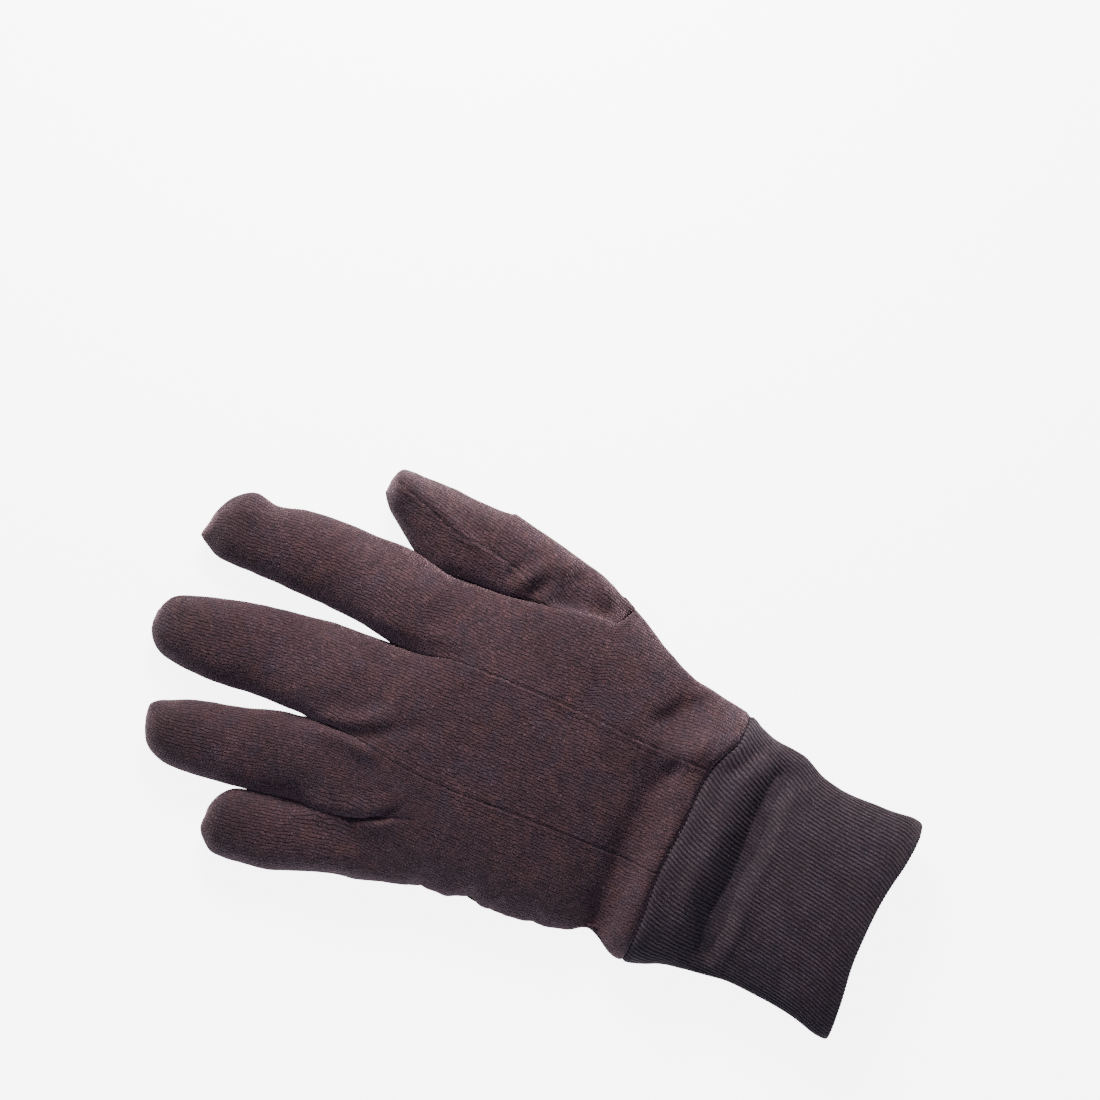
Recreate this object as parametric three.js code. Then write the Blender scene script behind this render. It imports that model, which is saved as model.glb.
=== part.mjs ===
import * as THREE from 'three'

// A left-hand jersey work glove lying flat, back of the hand up.
// +Y runs from the open end of the knitted wrist to the fingertips, +X is the thumb side, +Z is up.
// Each cloth panel is an open shell of its own: an outer face, an inner face and the cut edge between them.

// Sizes of the hand, in millimetres
const HAND_LENGTH = 111
const HAND_THICKNESS = 28
const LITTLE_WIDTH = 19
const RING_WIDTH = 24.3
const MIDDLE_WIDTH = 33.1
const INDEX_WIDTH = 28.3
const THUMB_WIDTH = 26.6

// Lengths from the middle of a finger's root to the middle of its tip
const LITTLE_LENGTH = 50.1
const RING_LENGTH = 63.6
const MIDDLE_LENGTH = 67.8
const INDEX_LENGTH = 76.6
const THUMB_LENGTH = 37.1
const FINGER_THICKNESS = 16.5
const THUMB_THICKNESS = 18

// Knitted wrist
const WRIST_LENGTH = 71
const WRIST_WIDTH = 75
const WRIST_THICKNESS = 27

// Cloth and seams
const JERSEY_WALL = 1.8
const KNIT_WALL = 3
const SEAM_GAP = 0.3
const SEAM_DEPTH = 1

// The four fingers stand side by side, so their widths make up the hand's
const HAND_WIDTH = LITTLE_WIDTH + RING_WIDTH + MIDDLE_WIDTH + INDEX_WIDTH

// Heights of the side seams, as shares of the thickness they run round
const HAND_SEAM = 0.33
const FINGER_SEAM = 0.4

// How round a cross-section is: 2 is an ellipse, more is fuller
const ROUNDNESS = 2.3

// Crotches between the fingers. along: share of hand length; height: share of hand thickness
const CROTCH = {
  outer: { along: 0.829, height: HAND_SEAM },
  ring: { along: 0.91, height: 0.36 },
  middle: { along: 1.135, height: 0.43 },
  index: { along: 1.009, height: 0.45 },
  thumb: { along: 0.91, height: 0.4 },
  side: { along: 0.829, height: 0.3 },
}

// Lengthwise lines of the hand, a row for each level from the wrist seam to the knuckles.
// along: share of hand length. outer to thumb: shares of hand width from the middle of the hand.
// bulge: how far the thumb's side stands beyond the thumb line, as a share of thumb width.
// palm: the seam between palm and thumb piece, on the underside, as a share of hand width.
const LINES = [
  { along: 0, outer: -0.402, ring: -0.258, middle: -0.099, index: 0.262, thumb: 0.475, bulge: 0, palm: 0.071 },
  { along: 0.05, outer: -0.394, ring: -0.258, middle: -0.098, index: 0.26, thumb: 0.492, bulge: 0, palm: 0.087 },
  { along: 0.1, outer: -0.362, ring: -0.256, middle: -0.097, index: 0.258, thumb: 0.501, bulge: 0, palm: 0.105 },
  { along: 0.135, outer: -0.353, ring: -0.256, middle: -0.097, index: 0.257, thumb: 0.506, bulge: 0.01, palm: 0.116 },
  { along: 0.19, outer: -0.381, ring: -0.255, middle: -0.098, index: 0.259, thumb: 0.515, bulge: 0.07, palm: 0.133 },
  { along: 0.27, outer: -0.403, ring: -0.253, middle: -0.1, index: 0.263, thumb: 0.539, bulge: 0.13, palm: 0.159 },
  { along: 0.38, outer: -0.417, ring: -0.25, middle: -0.103, index: 0.268, thumb: 0.568, bulge: 0.27, palm: 0.195 },
  { along: 0.5, outer: -0.417, ring: -0.247, middle: -0.106, index: 0.272, thumb: 0.561, bulge: 0.5, palm: 0.236 },
  { along: 0.62, outer: -0.443, ring: -0.245, middle: -0.115, index: 0.269, thumb: 0.534, bulge: 0.726, palm: 0.286 },
  { along: 0.74, outer: -0.471, ring: -0.251, middle: -0.115, index: 0.265, thumb: 0.513, bulge: 0.914, palm: 0.372 },
  { along: 0.83, outer: -0.5, ring: -0.287, middle: -0.11, index: 0.256, thumb: 0.506, bulge: 1, palm: 0.439 },
  { along: 0.91, outer: -0.5, ring: -0.319, middle: -0.098, index: 0.236, thumb: 0.5, bulge: 1, palm: 0.5 },
  { along: 1.009, outer: -0.5, ring: -0.319, middle: -0.083, index: 0.23, thumb: 0.5, bulge: 1, palm: 0.5 },
  { along: 1.135, outer: -0.5, ring: -0.319, middle: -0.086, index: 0.23, thumb: 0.5, bulge: 1, palm: 0.5 },
]

// Heights along the hand, as shares of hand thickness: the gather above the wrist seam is the dip at 0.14.
// crown: the back at its highest. under: the underside, flat on the ground where it is below 0.
// thumb: the back where the thumb joins it. pad: the thumb's own crown.
const HEIGHTS = [
  { along: 0, crown: 0.78, under: 0.04, thumb: 0.33, pad: 0.4 },
  { along: 0.05, crown: 0.96, under: -0.08, thumb: 0.33, pad: 0.4 },
  { along: 0.1, crown: 0.82, under: 0.01, thumb: 0.33, pad: 0.4 },
  { along: 0.14, crown: 0.7, under: 0.07, thumb: 0.33, pad: 0.4 },
  { along: 0.19, crown: 0.79, under: 0, thumb: 0.33, pad: 0.4 },
  { along: 0.27, crown: 0.89, under: -0.08, thumb: 0.33, pad: 0.4 },
  { along: 0.38, crown: 0.95, under: -0.1, thumb: 0.5, pad: 0.46 },
  { along: 0.41, crown: 0.96, under: -0.1, thumb: 0.62, pad: 0.5 },
  { along: 0.5, crown: 0.98, under: -0.1, thumb: 0.71, pad: 0.6 },
  { along: 0.62, crown: 1, under: -0.1, thumb: 0.7, pad: 0.56 },
  { along: 0.68, crown: 1, under: -0.1, thumb: 0.68, pad: 0.68 },
  { along: 0.74, crown: 1, under: -0.1, thumb: 0.62, pad: 0.66 },
  { along: 0.84, crown: 0.98, under: -0.1, thumb: 0.52, pad: 0.66 },
  { along: 0.92, crown: 0.95, under: -0.1, thumb: 0.42, pad: 0.66 },
  { along: 1, crown: 0.93, under: -0.1, thumb: 0.4, pad: 0.66 },
]

// The fingers. lean: degrees from +Y towards the thumb. tip, slant: the blunt tip's width and how much
// its thumb side stands forward, as shares of finger width. root: crown at the root, share of hand thickness.
// Rows, along: share of the finger. left, right: how far each side stands from the straight line between
// its root and its tip corner, as shares of finger width.
const FINGERS = {
  little: {
    width: LITTLE_WIDTH, length: LITTLE_LENGTH, lean: -11.2, tip: 0.47, slant: -0.01, root: 0.72,
    from: 'outer', to: 'ring', thickness: FINGER_THICKNESS,
    sides: [
      { along: 0, left: 0, right: 0 },
      { along: 0.2, left: -0.08, right: 0.06 },
      { along: 0.35, left: -0.2, right: 0.11 },
      { along: 0.5, left: -0.33, right: 0.15 },
      { along: 0.65, left: -0.37, right: 0.18 },
      { along: 0.78, left: -0.39, right: 0.21 },
      { along: 0.88, left: -0.36, right: 0.24 },
      { along: 0.96, left: -0.16, right: 0.17 },
      { along: 1, left: 0, right: 0 },
    ],
  },
  ring: {
    width: RING_WIDTH, length: RING_LENGTH, lean: -7.6, tip: 0.3, slant: 0.06, root: 0.86,
    from: 'ring', to: 'middle', thickness: FINGER_THICKNESS,
    sides: [
      { along: 0, left: 0, right: 0 },
      { along: 0.2, left: -0.09, right: 0.05 },
      { along: 0.35, left: -0.19, right: 0.05 },
      { along: 0.5, left: -0.28, right: 0.07 },
      { along: 0.65, left: -0.35, right: 0.1 },
      { along: 0.78, left: -0.39, right: 0.11 },
      { along: 0.88, left: -0.36, right: 0.08 },
      { along: 0.96, left: -0.22, right: 0.05 },
      { along: 1, left: 0, right: 0 },
    ],
  },
  middle: {
    width: MIDDLE_WIDTH, length: MIDDLE_LENGTH, lean: -5.4, tip: 0.23, slant: -0.01, root: 0.9,
    from: 'middle', to: 'index', thickness: FINGER_THICKNESS,
    sides: [
      { along: 0, left: 0, right: 0 },
      { along: 0.2, left: -0.05, right: 0.09 },
      { along: 0.35, left: -0.09, right: 0.13 },
      { along: 0.5, left: -0.15, right: 0.17 },
      { along: 0.65, left: -0.2, right: 0.19 },
      { along: 0.78, left: -0.21, right: 0.18 },
      { along: 0.88, left: -0.19, right: 0.16 },
      { along: 0.96, left: -0.11, right: 0.12 },
      { along: 1, left: 0, right: 0 },
    ],
  },
  index: {
    width: INDEX_WIDTH, length: INDEX_LENGTH, lean: -1.2, tip: 0.38, slant: -0.07, root: 0.9,
    from: 'index', to: 'thumb', thickness: FINGER_THICKNESS,
    sides: [
      { along: 0, left: 0, right: 0 },
      { along: 0.2, left: 0.02, right: 0.15 },
      { along: 0.35, left: 0, right: 0.22 },
      { along: 0.5, left: -0.04, right: 0.27 },
      { along: 0.65, left: -0.06, right: 0.28 },
      { along: 0.78, left: -0.09, right: 0.23 },
      { along: 0.88, left: -0.12, right: 0.31 },
      { along: 0.96, left: -0.05, right: 0.19 },
      { along: 1, left: 0, right: 0 },
    ],
  },
  thumb: {
    width: THUMB_WIDTH, length: THUMB_LENGTH, lean: 10.6, tip: 0.28, slant: -0.03, root: 0.66,
    from: 'thumb', to: 'side', thickness: THUMB_THICKNESS,
    sides: [
      { along: 0, left: 0, right: 0 },
      { along: 0.2, left: -0.04, right: 0.01 },
      { along: 0.35, left: -0.1, right: 0.03 },
      { along: 0.5, left: -0.16, right: 0.07 },
      { along: 0.65, left: -0.16, right: 0.08 },
      { along: 0.78, left: -0.14, right: 0.09 },
      { along: 0.88, left: -0.11, right: 0.1 },
      { along: 0.96, left: -0.05, right: 0.08 },
      { along: 1, left: 0, right: 0 },
    ],
  },
}

// The seam up the top of the thumb. across: share of the way from the thumb line to the thumb's side.
const THUMB_SEAM = [
  { along: 0.66, across: 0 },
  { along: 0.74, across: 0.22 },
  { along: 0.84, across: 0.38 },
  { along: 1, across: 0.5 },
]
const THUMB_SEAM_TIP = 0.62

// Rows of the knitted wrist, from its seam to its folded free edge. along: share of wrist length.
// left, right: shares of wrist width. crown, under: shares of wrist thickness.
const WRIST = [
  { along: 0.08, left: -0.573, right: 0.6, crown: 0.9, under: -0.02 },
  { along: 0.17, left: -0.535, right: 0.575, crown: 1, under: -0.08 },
  { along: 0.27, left: -0.515, right: 0.567, crown: 0.9, under: -0.02 },
  { along: 0.34, left: -0.505, right: 0.556, crown: 0.86, under: 0 },
  { along: 0.46, left: -0.489, right: 0.505, crown: 0.92, under: -0.05 },
  { along: 0.62, left: -0.494, right: 0.485, crown: 0.96, under: -0.08 },
  { along: 0.8, left: -0.515, right: 0.49, crown: 0.97, under: -0.08 },
  { along: 0.93, left: -0.55, right: 0.503, crown: 0.96, under: -0.06 },
  { along: 0.99, left: -0.553, right: 0.495, crown: 0.92, under: 0 },
]
// The wrist's middle stands this share of its width towards the thumb
const WRIST_SHIFT = 0.033
// How the wrist seam and the free edge sweep towards the cuff end. across: share of hand width from its
// middle. seam: share of hand length. edge: share of wrist length.
const SWEEP = [
  { across: -0.42, seam: 0, edge: 0.025 },
  { across: -0.26, seam: -0.002, edge: 0.012 },
  { across: -0.1, seam: 0.007, edge: -0.015 },
  { across: 0.08, seam: -0.004, edge: -0.008 },
  { across: 0.262, seam: -0.012, edge: 0.03 },
  { across: 0.33, seam: -0.036, edge: 0.04 },
  { across: 0.38, seam: -0.058, edge: 0.03 },
  { across: 0.475, seam: -0.063, edge: 0.025 },
]

// Mesh density
const STRIP_COLUMNS = 4
const WRIST_COLUMNS = 36
const HAND_ROWS = [0, 0.05, 0.1, 0.14, 0.19, 0.27, 0.38, 0.41, 0.5, 0.62, 0.74, 0.84, 0.93, 1]
const THUMB_START = 0.41
const SIDE_START = 0.38
const THUMB_ROWS = [0.41, 0.5, 0.57, 0.62, 0.66, 0.7, 0.78, 0.88, 1]
const WEDGE_ROWS = THUMB_ROWS.filter((along) => along >= THUMB_SEAM[0].along)
const FINGER_ROWS = [0, 0.08, 0.2, 0.4, 0.6, 0.78, 0.88, 0.96, 1]

const mix = THREE.MathUtils.lerp
const ease = (value) => THREE.MathUtils.smoothstep(value, 0, 1)

// Reads one column of a table at a level between its rows, along a smooth curve
function read(table, column, along, key = 'along') {
  if (along <= table[0][key]) return table[0][column]
  const last = table.length - 1
  if (along >= table[last][key]) return table[last][column]
  const next = table.findIndex((row) => row[key] > along)
  const slope = (i) => {
    const a = table[Math.max(i - 1, 0)]
    const b = table[Math.min(i + 1, last)]
    return (b[column] - a[column]) / (b[key] - a[key])
  }
  const a = table[next - 1]
  const b = table[next]
  const span = b[key] - a[key]
  const t = (along - a[key]) / span
  const bend = t * (1 - t) * span
  return mix(a[column], b[column], t * t * (3 - 2 * t)) + bend * ((1 - t) * slope(next - 1) - t * slope(next))
}

// Where each crotch lies across the hand, from the finger widths
const CROTCH_X = {
  outer: -HAND_WIDTH / 2,
  ring: -HAND_WIDTH / 2 + LITTLE_WIDTH,
  middle: -HAND_WIDTH / 2 + LITTLE_WIDTH + RING_WIDTH,
  index: HAND_WIDTH / 2 - INDEX_WIDTH,
  thumb: HAND_WIDTH / 2,
  side: HAND_WIDTH / 2 + THUMB_WIDTH,
  palm: HAND_WIDTH / 2,
}
CROTCH.palm = CROTCH.thumb

// How far towards the cuff the wrist seam sweeps at a place across the hand
const seamSweep = (x) => HAND_LENGTH * read(SWEEP, 'seam', x / HAND_WIDTH, 'across')

// A point in plan of one of the hand's lines: rows run straight across near the wrist and bend
// to meet each crotch at the knuckles. row goes from 0 at the wrist seam to 1 at the crotches.
function handPoint(line, row) {
  const reach = CROTCH[line].along
  const along = row + (reach - 1) * ease((row - 0.4) / 0.6)
  let x = 0
  if (line === 'side') {
    x = HAND_WIDTH * read(LINES, 'thumb', along) + THUMB_WIDTH * read(LINES, 'bulge', along)
  } else {
    const drift = CROTCH_X[line] / HAND_WIDTH - read(LINES, line, reach)
    x = HAND_WIDTH * (read(LINES, line, along) + drift * along / reach)
  }
  return new THREE.Vector2(x, HAND_LENGTH * along)
}

// A place between two points of one row, which near the wrist follows the sweep of its seam
function between(row, left, right, share) {
  const plan = left.clone().lerp(right, share)
  plan.y += Math.max(0, 1 - row / 0.1) * seamSweep(plan.x)
  return plan
}

// The right-hand edge of the back: the thumb's side near the wrist, then the thumb line
const backEdge = (row) => handPoint(row <= SIDE_START ? 'side' : 'thumb', row)

// How much a point of the hand belongs to its finger's own round section: 1 at the crotches
const fingerShare = (row) => Math.max(0, (row - 0.76) / 0.24) ** 2

// Half-round swelling of a section, 0 at both edges and 1 in the middle. across goes from -1 to 1.
const swell = (across) => Math.sqrt(Math.max(0, 1 - Math.abs(across) ** ROUNDNESS))

// Height of the back of the hand, at a share of the way across the whole back
function backHeight(row, share, edgeHeight) {
  const seam = HAND_THICKNESS * HAND_SEAM
  const base = mix(seam, edgeHeight, share)
  const crown = HAND_THICKNESS * read(HEIGHTS, 'crown', row)
  return base + (crown - base) * swell(share * 2 - 1)
}

// Height of the underside, at a share of the way across the whole hand, thumb included
function underHeight(row, share) {
  const seam = HAND_THICKNESS * HAND_SEAM
  const low = HAND_THICKNESS * read(HEIGHTS, 'under', row)
  return Math.max(0, seam - (seam - low) * swell(share * 2 - 1))
}

// Crown, seam and underside heights along a finger
function fingerHeights(finger, along) {
  const { thickness, root } = finger
  const settle = ease(along / 0.45)
  const close = Math.sqrt(Math.max(0, 1 - Math.max(0, (along - 0.84) / 0.16) ** 2))
  const seam = thickness * FINGER_SEAM
  return {
    left: mix(HAND_THICKNESS * CROTCH[finger.from].height, seam, settle),
    right: mix(HAND_THICKNESS * CROTCH[finger.to].height, seam, settle),
    crown: mix(HAND_THICKNESS * root, thickness, settle),
    low: -0.08 * thickness,
    close,
  }
}

// Left and right edge of a finger in plan
function fingerEdges(finger, along) {
  const root = (line) => new THREE.Vector2(CROTCH_X[line], HAND_LENGTH * CROTCH[line].along)
  const left = root(finger.from)
  const right = root(finger.to)
  const lean = THREE.MathUtils.degToRad(finger.lean)
  const reach = new THREE.Vector2(Math.sin(lean), Math.cos(lean)).multiplyScalar(finger.length)
  const tip = left.clone().add(right).multiplyScalar(0.5).add(reach)
  const corner = new THREE.Vector2(finger.tip, finger.slant).multiplyScalar(finger.width / 2)
  left.lerp(tip.clone().sub(corner), along)
  right.lerp(tip.clone().add(corner), along)
  left.x += finger.width * read(finger.sides, 'left', along)
  right.x += finger.width * read(finger.sides, 'right', along)
  // Two fingers that start at one crotch keep a gap between their sides
  const apart = SEAM_GAP * Math.min(1, along / 0.08)
  left.x += apart
  right.x -= apart
  return { left, right }
}

// A point of a finger's top or underside; across goes from -1 to 1
function fingerPoint(finger, along, across, top) {
  const { left, right } = fingerEdges(finger, along)
  const height = fingerHeights(finger, along)
  const share = (across + 1) / 2
  const plan = left.lerp(right, share)
  const base = mix(height.left, height.right, share)
  const far = top ? height.crown : height.low
  const z = base + (far - base) * swell(across) * height.close
  return new THREE.Vector3(plan.x, plan.y, Math.max(0, z))
}

// A grid of points: rows along the glove, columns across it
function grid(rows, columns, point) {
  return rows.map((row) => columns.map((column) => point(row, column)))
}

const columnsFrom = (from, to, count) => Array.from({ length: count + 1 }, (_, i) => mix(from, to, i / count))
const ACROSS = columnsFrom(-1, 1, STRIP_COLUMNS).map((value) => Math.sign(value) * Math.abs(value) ** 0.8)

// One finger's strip of the back of the hand, running on into the top of the finger
function backStrip(name, seams) {
  const finger = FINGERS[name]
  const end = (line, row) => (line === 'thumb' ? backEdge(row) : handPoint(line, row))
  const hand = grid(HAND_ROWS.slice(0, -1), ACROSS, (row, across) => {
    const plan = between(row, end(finger.from, row), end(finger.to, row), (across + 1) / 2)
    const left = handPoint('outer', row).x
    const right = backEdge(row).x
    const edge = row <= SIDE_START ? HAND_SEAM : read(HEIGHTS, 'thumb', row)
    const whole = backHeight(row, (plan.x - left) / (right - left), HAND_THICKNESS * edge)
    const own = fingerPoint(finger, 0, across, true).z
    return new THREE.Vector3(plan.x, plan.y, mix(whole, own, fingerShare(row)))
  })
  const strip = hand.concat(grid(FINGER_ROWS, ACROSS, (along, across) => fingerPoint(finger, along, across, true)))
  strip.forEach((points, i) => {
    const onHand = i < hand.length
    const depth = onHand && i > 0 ? SEAM_DEPTH * (1 - fingerShare(HAND_ROWS[i])) : 0
    const first = points[0]
    const final = points[points.length - 1]
    // Back seams are sewn in a groove, side seams lie a gap above the underside's edge
    if (seams.left && onHand) {
      first.x += SEAM_GAP / 2
      first.z -= depth
    }
    if (seams.right && onHand) {
      final.x -= SEAM_GAP / 2
      final.z -= depth
    }
    const besideThumb = onHand && finger.to === 'thumb' && HAND_ROWS[i] > SIDE_START
    if (besideThumb) final.x -= SEAM_GAP / 2
    const leftFree = !onHand || finger.from === 'outer'
    const rightFree = !onHand || (finger.to === 'thumb' && !besideThumb)
    if (leftFree) first.z += SEAM_GAP
    if (rightFree) final.z += SEAM_GAP
  })
  for (const point of strip[strip.length - 1].slice(1, -1)) point.z += SEAM_GAP
  return strip
}

// One finger's strip of the palm, running on into the finger's underside
function palmStrip(name) {
  const finger = FINGERS[name]
  const palmWidth = (line) => (CROTCH_X[line] + HAND_WIDTH / 2) / HAND_WIDTH
  const hand = grid(HAND_ROWS.slice(0, -1), ACROSS, (row, across) => {
    const outer = handPoint('outer', row)
    const seam = handPoint('palm', row)
    const ends = [finger.from, finger.to].map((line) => {
      const along = line === 'thumb' ? seam.y : handPoint(line, row).y
      return new THREE.Vector2(mix(outer.x, seam.x, palmWidth(line)), along)
    })
    const plan = between(row, ends[0], ends[1], (across + 1) / 2)
    return underPoint(finger, row, across, plan)
  })
  const strip = hand.concat(grid(FINGER_ROWS, ACROSS, (along, across) => fingerPoint(finger, along, across, false)))
  if (finger.to === 'thumb') {
    hand.forEach((points) => {
      points[points.length - 1].x -= SEAM_GAP / 2
    })
  }
  return strip
}

// A point of the underside of the hand, above a place in plan
function underPoint(finger, row, across, plan) {
  const left = handPoint('outer', row).x
  const right = handPoint('side', row).x
  const whole = underHeight(row, (plan.x - left) / (right - left))
  const own = fingerPoint(finger, 0, across, false).z
  return new THREE.Vector3(plan.x, plan.y, mix(whole, own, fingerShare(row)))
}

// The thumb's underside: from the palm seam to the side seam, running on into the thumb
function thumbUnder() {
  const finger = FINGERS.thumb
  const hand = grid(HAND_ROWS.slice(0, -1), ACROSS, (row, across) => {
    const plan = between(row, handPoint('palm', row), handPoint('side', row), (across + 1) / 2)
    return underPoint(finger, row, across, plan)
  })
  for (const points of hand) points[0].x += SEAM_GAP / 2
  return hand.concat(grid(FINGER_ROWS, ACROSS, (along, across) => fingerPoint(finger, along, across, false)))
}

// How far across the thumb its top seam lies: on the hand, then on the thumb itself
const seamAcross = (row) => 2 * read(THUMB_SEAM, 'across', row) - 1
const seamAcrossThumb = (along) => 2 * mix(THUMB_SEAM[THUMB_SEAM.length - 1].across, THUMB_SEAM_TIP, along) - 1

// A point on top of the thumb where it lies beside the hand
function thumbTop(row, across) {
  const finger = FINGERS.thumb
  const first = row === THUMB_START
  const share = (across + 1) / 2
  const plan = between(row, handPoint('thumb', row), handPoint('side', first ? SIDE_START : row), share)
  const left = HAND_THICKNESS * read(HEIGHTS, 'thumb', row)
  const base = mix(left, HAND_THICKNESS * HAND_SEAM, share)
  const pad = HAND_THICKNESS * read(HEIGHTS, 'pad', row)
  const whole = first ? base : base + (pad - base) * swell(across)
  const own = fingerPoint(finger, 0, across, true).z
  return new THREE.Vector3(plan.x, plan.y + (first ? SEAM_GAP : 0), mix(whole, own, fingerShare(row)))
}

// The thumb's back: between its top seam and the side seam
function thumbBack() {
  const finger = FINGERS.thumb
  const shares = columnsFrom(0, 1, STRIP_COLUMNS)
  const hand = grid(THUMB_ROWS.slice(0, -1), shares, (row, share) => thumbTop(row, mix(seamAcross(row), 1, share)))
  const thumb = grid(FINGER_ROWS, shares, (along, share) => {
    return fingerPoint(finger, along, mix(seamAcrossThumb(along), 1, share), true)
  })
  const strip = hand.concat(thumb)
  strip.forEach((points, i) => {
    const atTip = i === strip.length - 1
    points[0].x += SEAM_GAP
    if (!atTip) points[0].z -= SEAM_DEPTH / 2
    const free = atTip ? points : points.slice(-1)
    for (const point of free) point.z += SEAM_GAP
  })
  return strip
}

// The wedge of the thumb's front piece that shows on top, between the thumb line and the top seam
function thumbWedge() {
  const finger = FINGERS.thumb
  const shares = columnsFrom(0, 1, STRIP_COLUMNS - 1)
  const hand = grid(WEDGE_ROWS.slice(0, -1), shares, (row, share) => {
    const point = thumbTop(row, mix(-1, seamAcross(row), share))
    point.x += SEAM_GAP / 2
    return point
  })
  const thumb = grid(FINGER_ROWS, shares, (along, share) => {
    return fingerPoint(finger, along, mix(-1, seamAcrossThumb(along), share), true)
  })
  return hand.concat(thumb)
}

// Closes one panel: its grids are joined where they share points, given a wall along their normals,
// and closed with a rim along every free edge. Side-seam rims are level, so that two panels meet flat.
function panel(grids, wall, levelEdge) {
  const points = []
  const found = new Map()
  const indexOf = (point) => {
    const key = [point.x, point.y, point.z].map((value) => Math.round(value * 200)).join(',')
    if (!found.has(key)) {
      found.set(key, points.length)
      points.push(point)
    }
    return found.get(key)
  }
  const faces = []
  const addFace = (a, b, c) => {
    if (a !== b && b !== c && a !== c) faces.push([a, b, c])
  }
  for (const { rows, up } of grids) {
    const index = rows.map((row) => row.map(indexOf))
    for (let i = 0; i + 1 < index.length; i++) {
      for (let j = 0; j + 1 < index[i].length; j++) {
        const [a, b] = [index[i][j], index[i][j + 1]]
        const [c, d] = [index[i + 1][j + 1], index[i + 1][j]]
        if (up) {
          addFace(a, b, c)
          addFace(a, c, d)
        } else {
          addFace(a, c, b)
          addFace(a, d, c)
        }
      }
    }
  }
  // Normals, and the free edges: those that only one face uses
  const normals = points.map(() => new THREE.Vector3())
  const edges = new Set()
  for (const face of faces) {
    const [a, b, c] = face.map((i) => points[i])
    const normal = b.clone().sub(a).cross(c.clone().sub(a)).normalize()
    face.forEach((i, k) => {
      const [p, q, r] = [points[i], points[face[(k + 1) % 3]], points[face[(k + 2) % 3]]]
      normals[i].addScaledVector(normal, q.clone().sub(p).angleTo(r.clone().sub(p)))
      edges.add(`${i} ${face[(k + 1) % 3]}`)
    })
  }
  const free = [...edges].map((edge) => edge.split(' ').map(Number)).filter(([a, b]) => !edges.has(`${b} ${a}`))
  // Which way each rim point faces in plan, away from its panel
  const outward = new Map()
  for (const [a, b] of free) {
    for (const i of [a, b]) {
      const along = points[b].clone().sub(points[a]).cross(new THREE.Vector3(0, 0, Math.sign(normals[i].z)))
      outward.set(i, (outward.get(i) ?? new THREE.Vector3()).add(along.normalize()))
    }
  }
  const inner = points.map((point, i) => {
    const normal = normals[i].clone()
    const offset = new THREE.Vector3()
    if (outward.has(i) && levelEdge(point)) normal.z = 0
    offset.copy(normal.normalize()).multiplyScalar(-wall)
    // At a seam the wall never leans over its neighbour
    if (outward.has(i)) {
      const away = outward.get(i).setZ(0).normalize()
      offset.addScaledVector(away, -Math.max(0, offset.dot(away)))
    }
    return point.clone().add(offset)
  })
  const count = points.length
  const solid = []
  for (const [a, b, c] of faces) solid.push(a, b, c, count + a, count + c, count + b)
  for (const [a, b] of free) solid.push(b, a, count + a, b, count + a, count + b)
  return geometryFrom(points.concat(inner), solid)
}

function geometryFrom(points, index) {
  const geometry = new THREE.BufferGeometry()
  geometry.setAttribute('position', new THREE.Float32BufferAttribute(points.flatMap((p) => p.toArray()), 3))
  geometry.setIndex(index)
  geometry.computeVertexNormals()
  return geometry
}

// The knitted wrist: a folded double tube, closed round its section and from its outer to its inner face
function wristGeometry() {
  const seam = { left: handPoint('outer', 0).x, right: handPoint('side', 0).x }
  const middle = WRIST_WIDTH * WRIST_SHIFT
  const loops = []
  const loop = (row, inset) => {
    const angles = columnsFrom(0, 2 * Math.PI, WRIST_COLUMNS).slice(0, -1)
    const halfWidth = (row.right - row.left) / 2 - inset
    const centre = (row.right + row.left) / 2
    return angles.map((angle) => {
      const across = Math.sign(Math.cos(angle)) * Math.abs(Math.cos(angle)) ** (2 / ROUNDNESS)
      const x = centre + halfWidth * across
      const top = Math.sin(angle) >= 0
      const far = top ? row.crown - inset : row.under + inset
      const z = Math.max(inset, row.side + (far - row.side) * Math.abs(Math.sin(angle)))
      const start = seamSweep(x) - SEAM_GAP
      const end = -WRIST_LENGTH * (1 + read(SWEEP, 'edge', x / HAND_WIDTH, 'across'))
      return new THREE.Vector3(x, mix(start, end, row.along), z)
    })
  }
  const seamRow = {
    along: 0,
    left: seam.left,
    right: seam.right,
    crown: HAND_THICKNESS * HEIGHTS[0].crown,
    under: HAND_THICKNESS * HEIGHTS[0].under,
    side: HAND_THICKNESS * HAND_SEAM,
  }
  const rows = [seamRow]
  for (const row of WRIST) {
    rows.push({
      along: row.along,
      left: middle + WRIST_WIDTH * row.left,
      right: middle + WRIST_WIDTH * row.right,
      crown: WRIST_THICKNESS * row.crown,
      under: WRIST_THICKNESS * row.under,
      side: mix(seamRow.side, WRIST_THICKNESS / 2, Math.min(1, row.along * 2)),
    })
  }
  for (const row of rows) loops.push(loop(row, 0))
  const last = rows[rows.length - 1]
  loops.push(loop({ ...last, along: 1 }, KNIT_WALL / 2))
  for (const row of rows.slice().reverse()) loops.push(loop(row, KNIT_WALL))
  const points = loops.flat()
  const index = []
  for (let i = 0; i < loops.length; i++) {
    for (let j = 0; j < WRIST_COLUMNS; j++) {
      const next = (i + 1) % loops.length
      const side = (j + 1) % WRIST_COLUMNS
      const [a, b] = [i * WRIST_COLUMNS + j, i * WRIST_COLUMNS + side]
      const [c, d] = [next * WRIST_COLUMNS + side, next * WRIST_COLUMNS + j]
      index.push(a, b, c, a, c, d)
    }
  }
  return geometryFrom(points, index)
}

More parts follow.
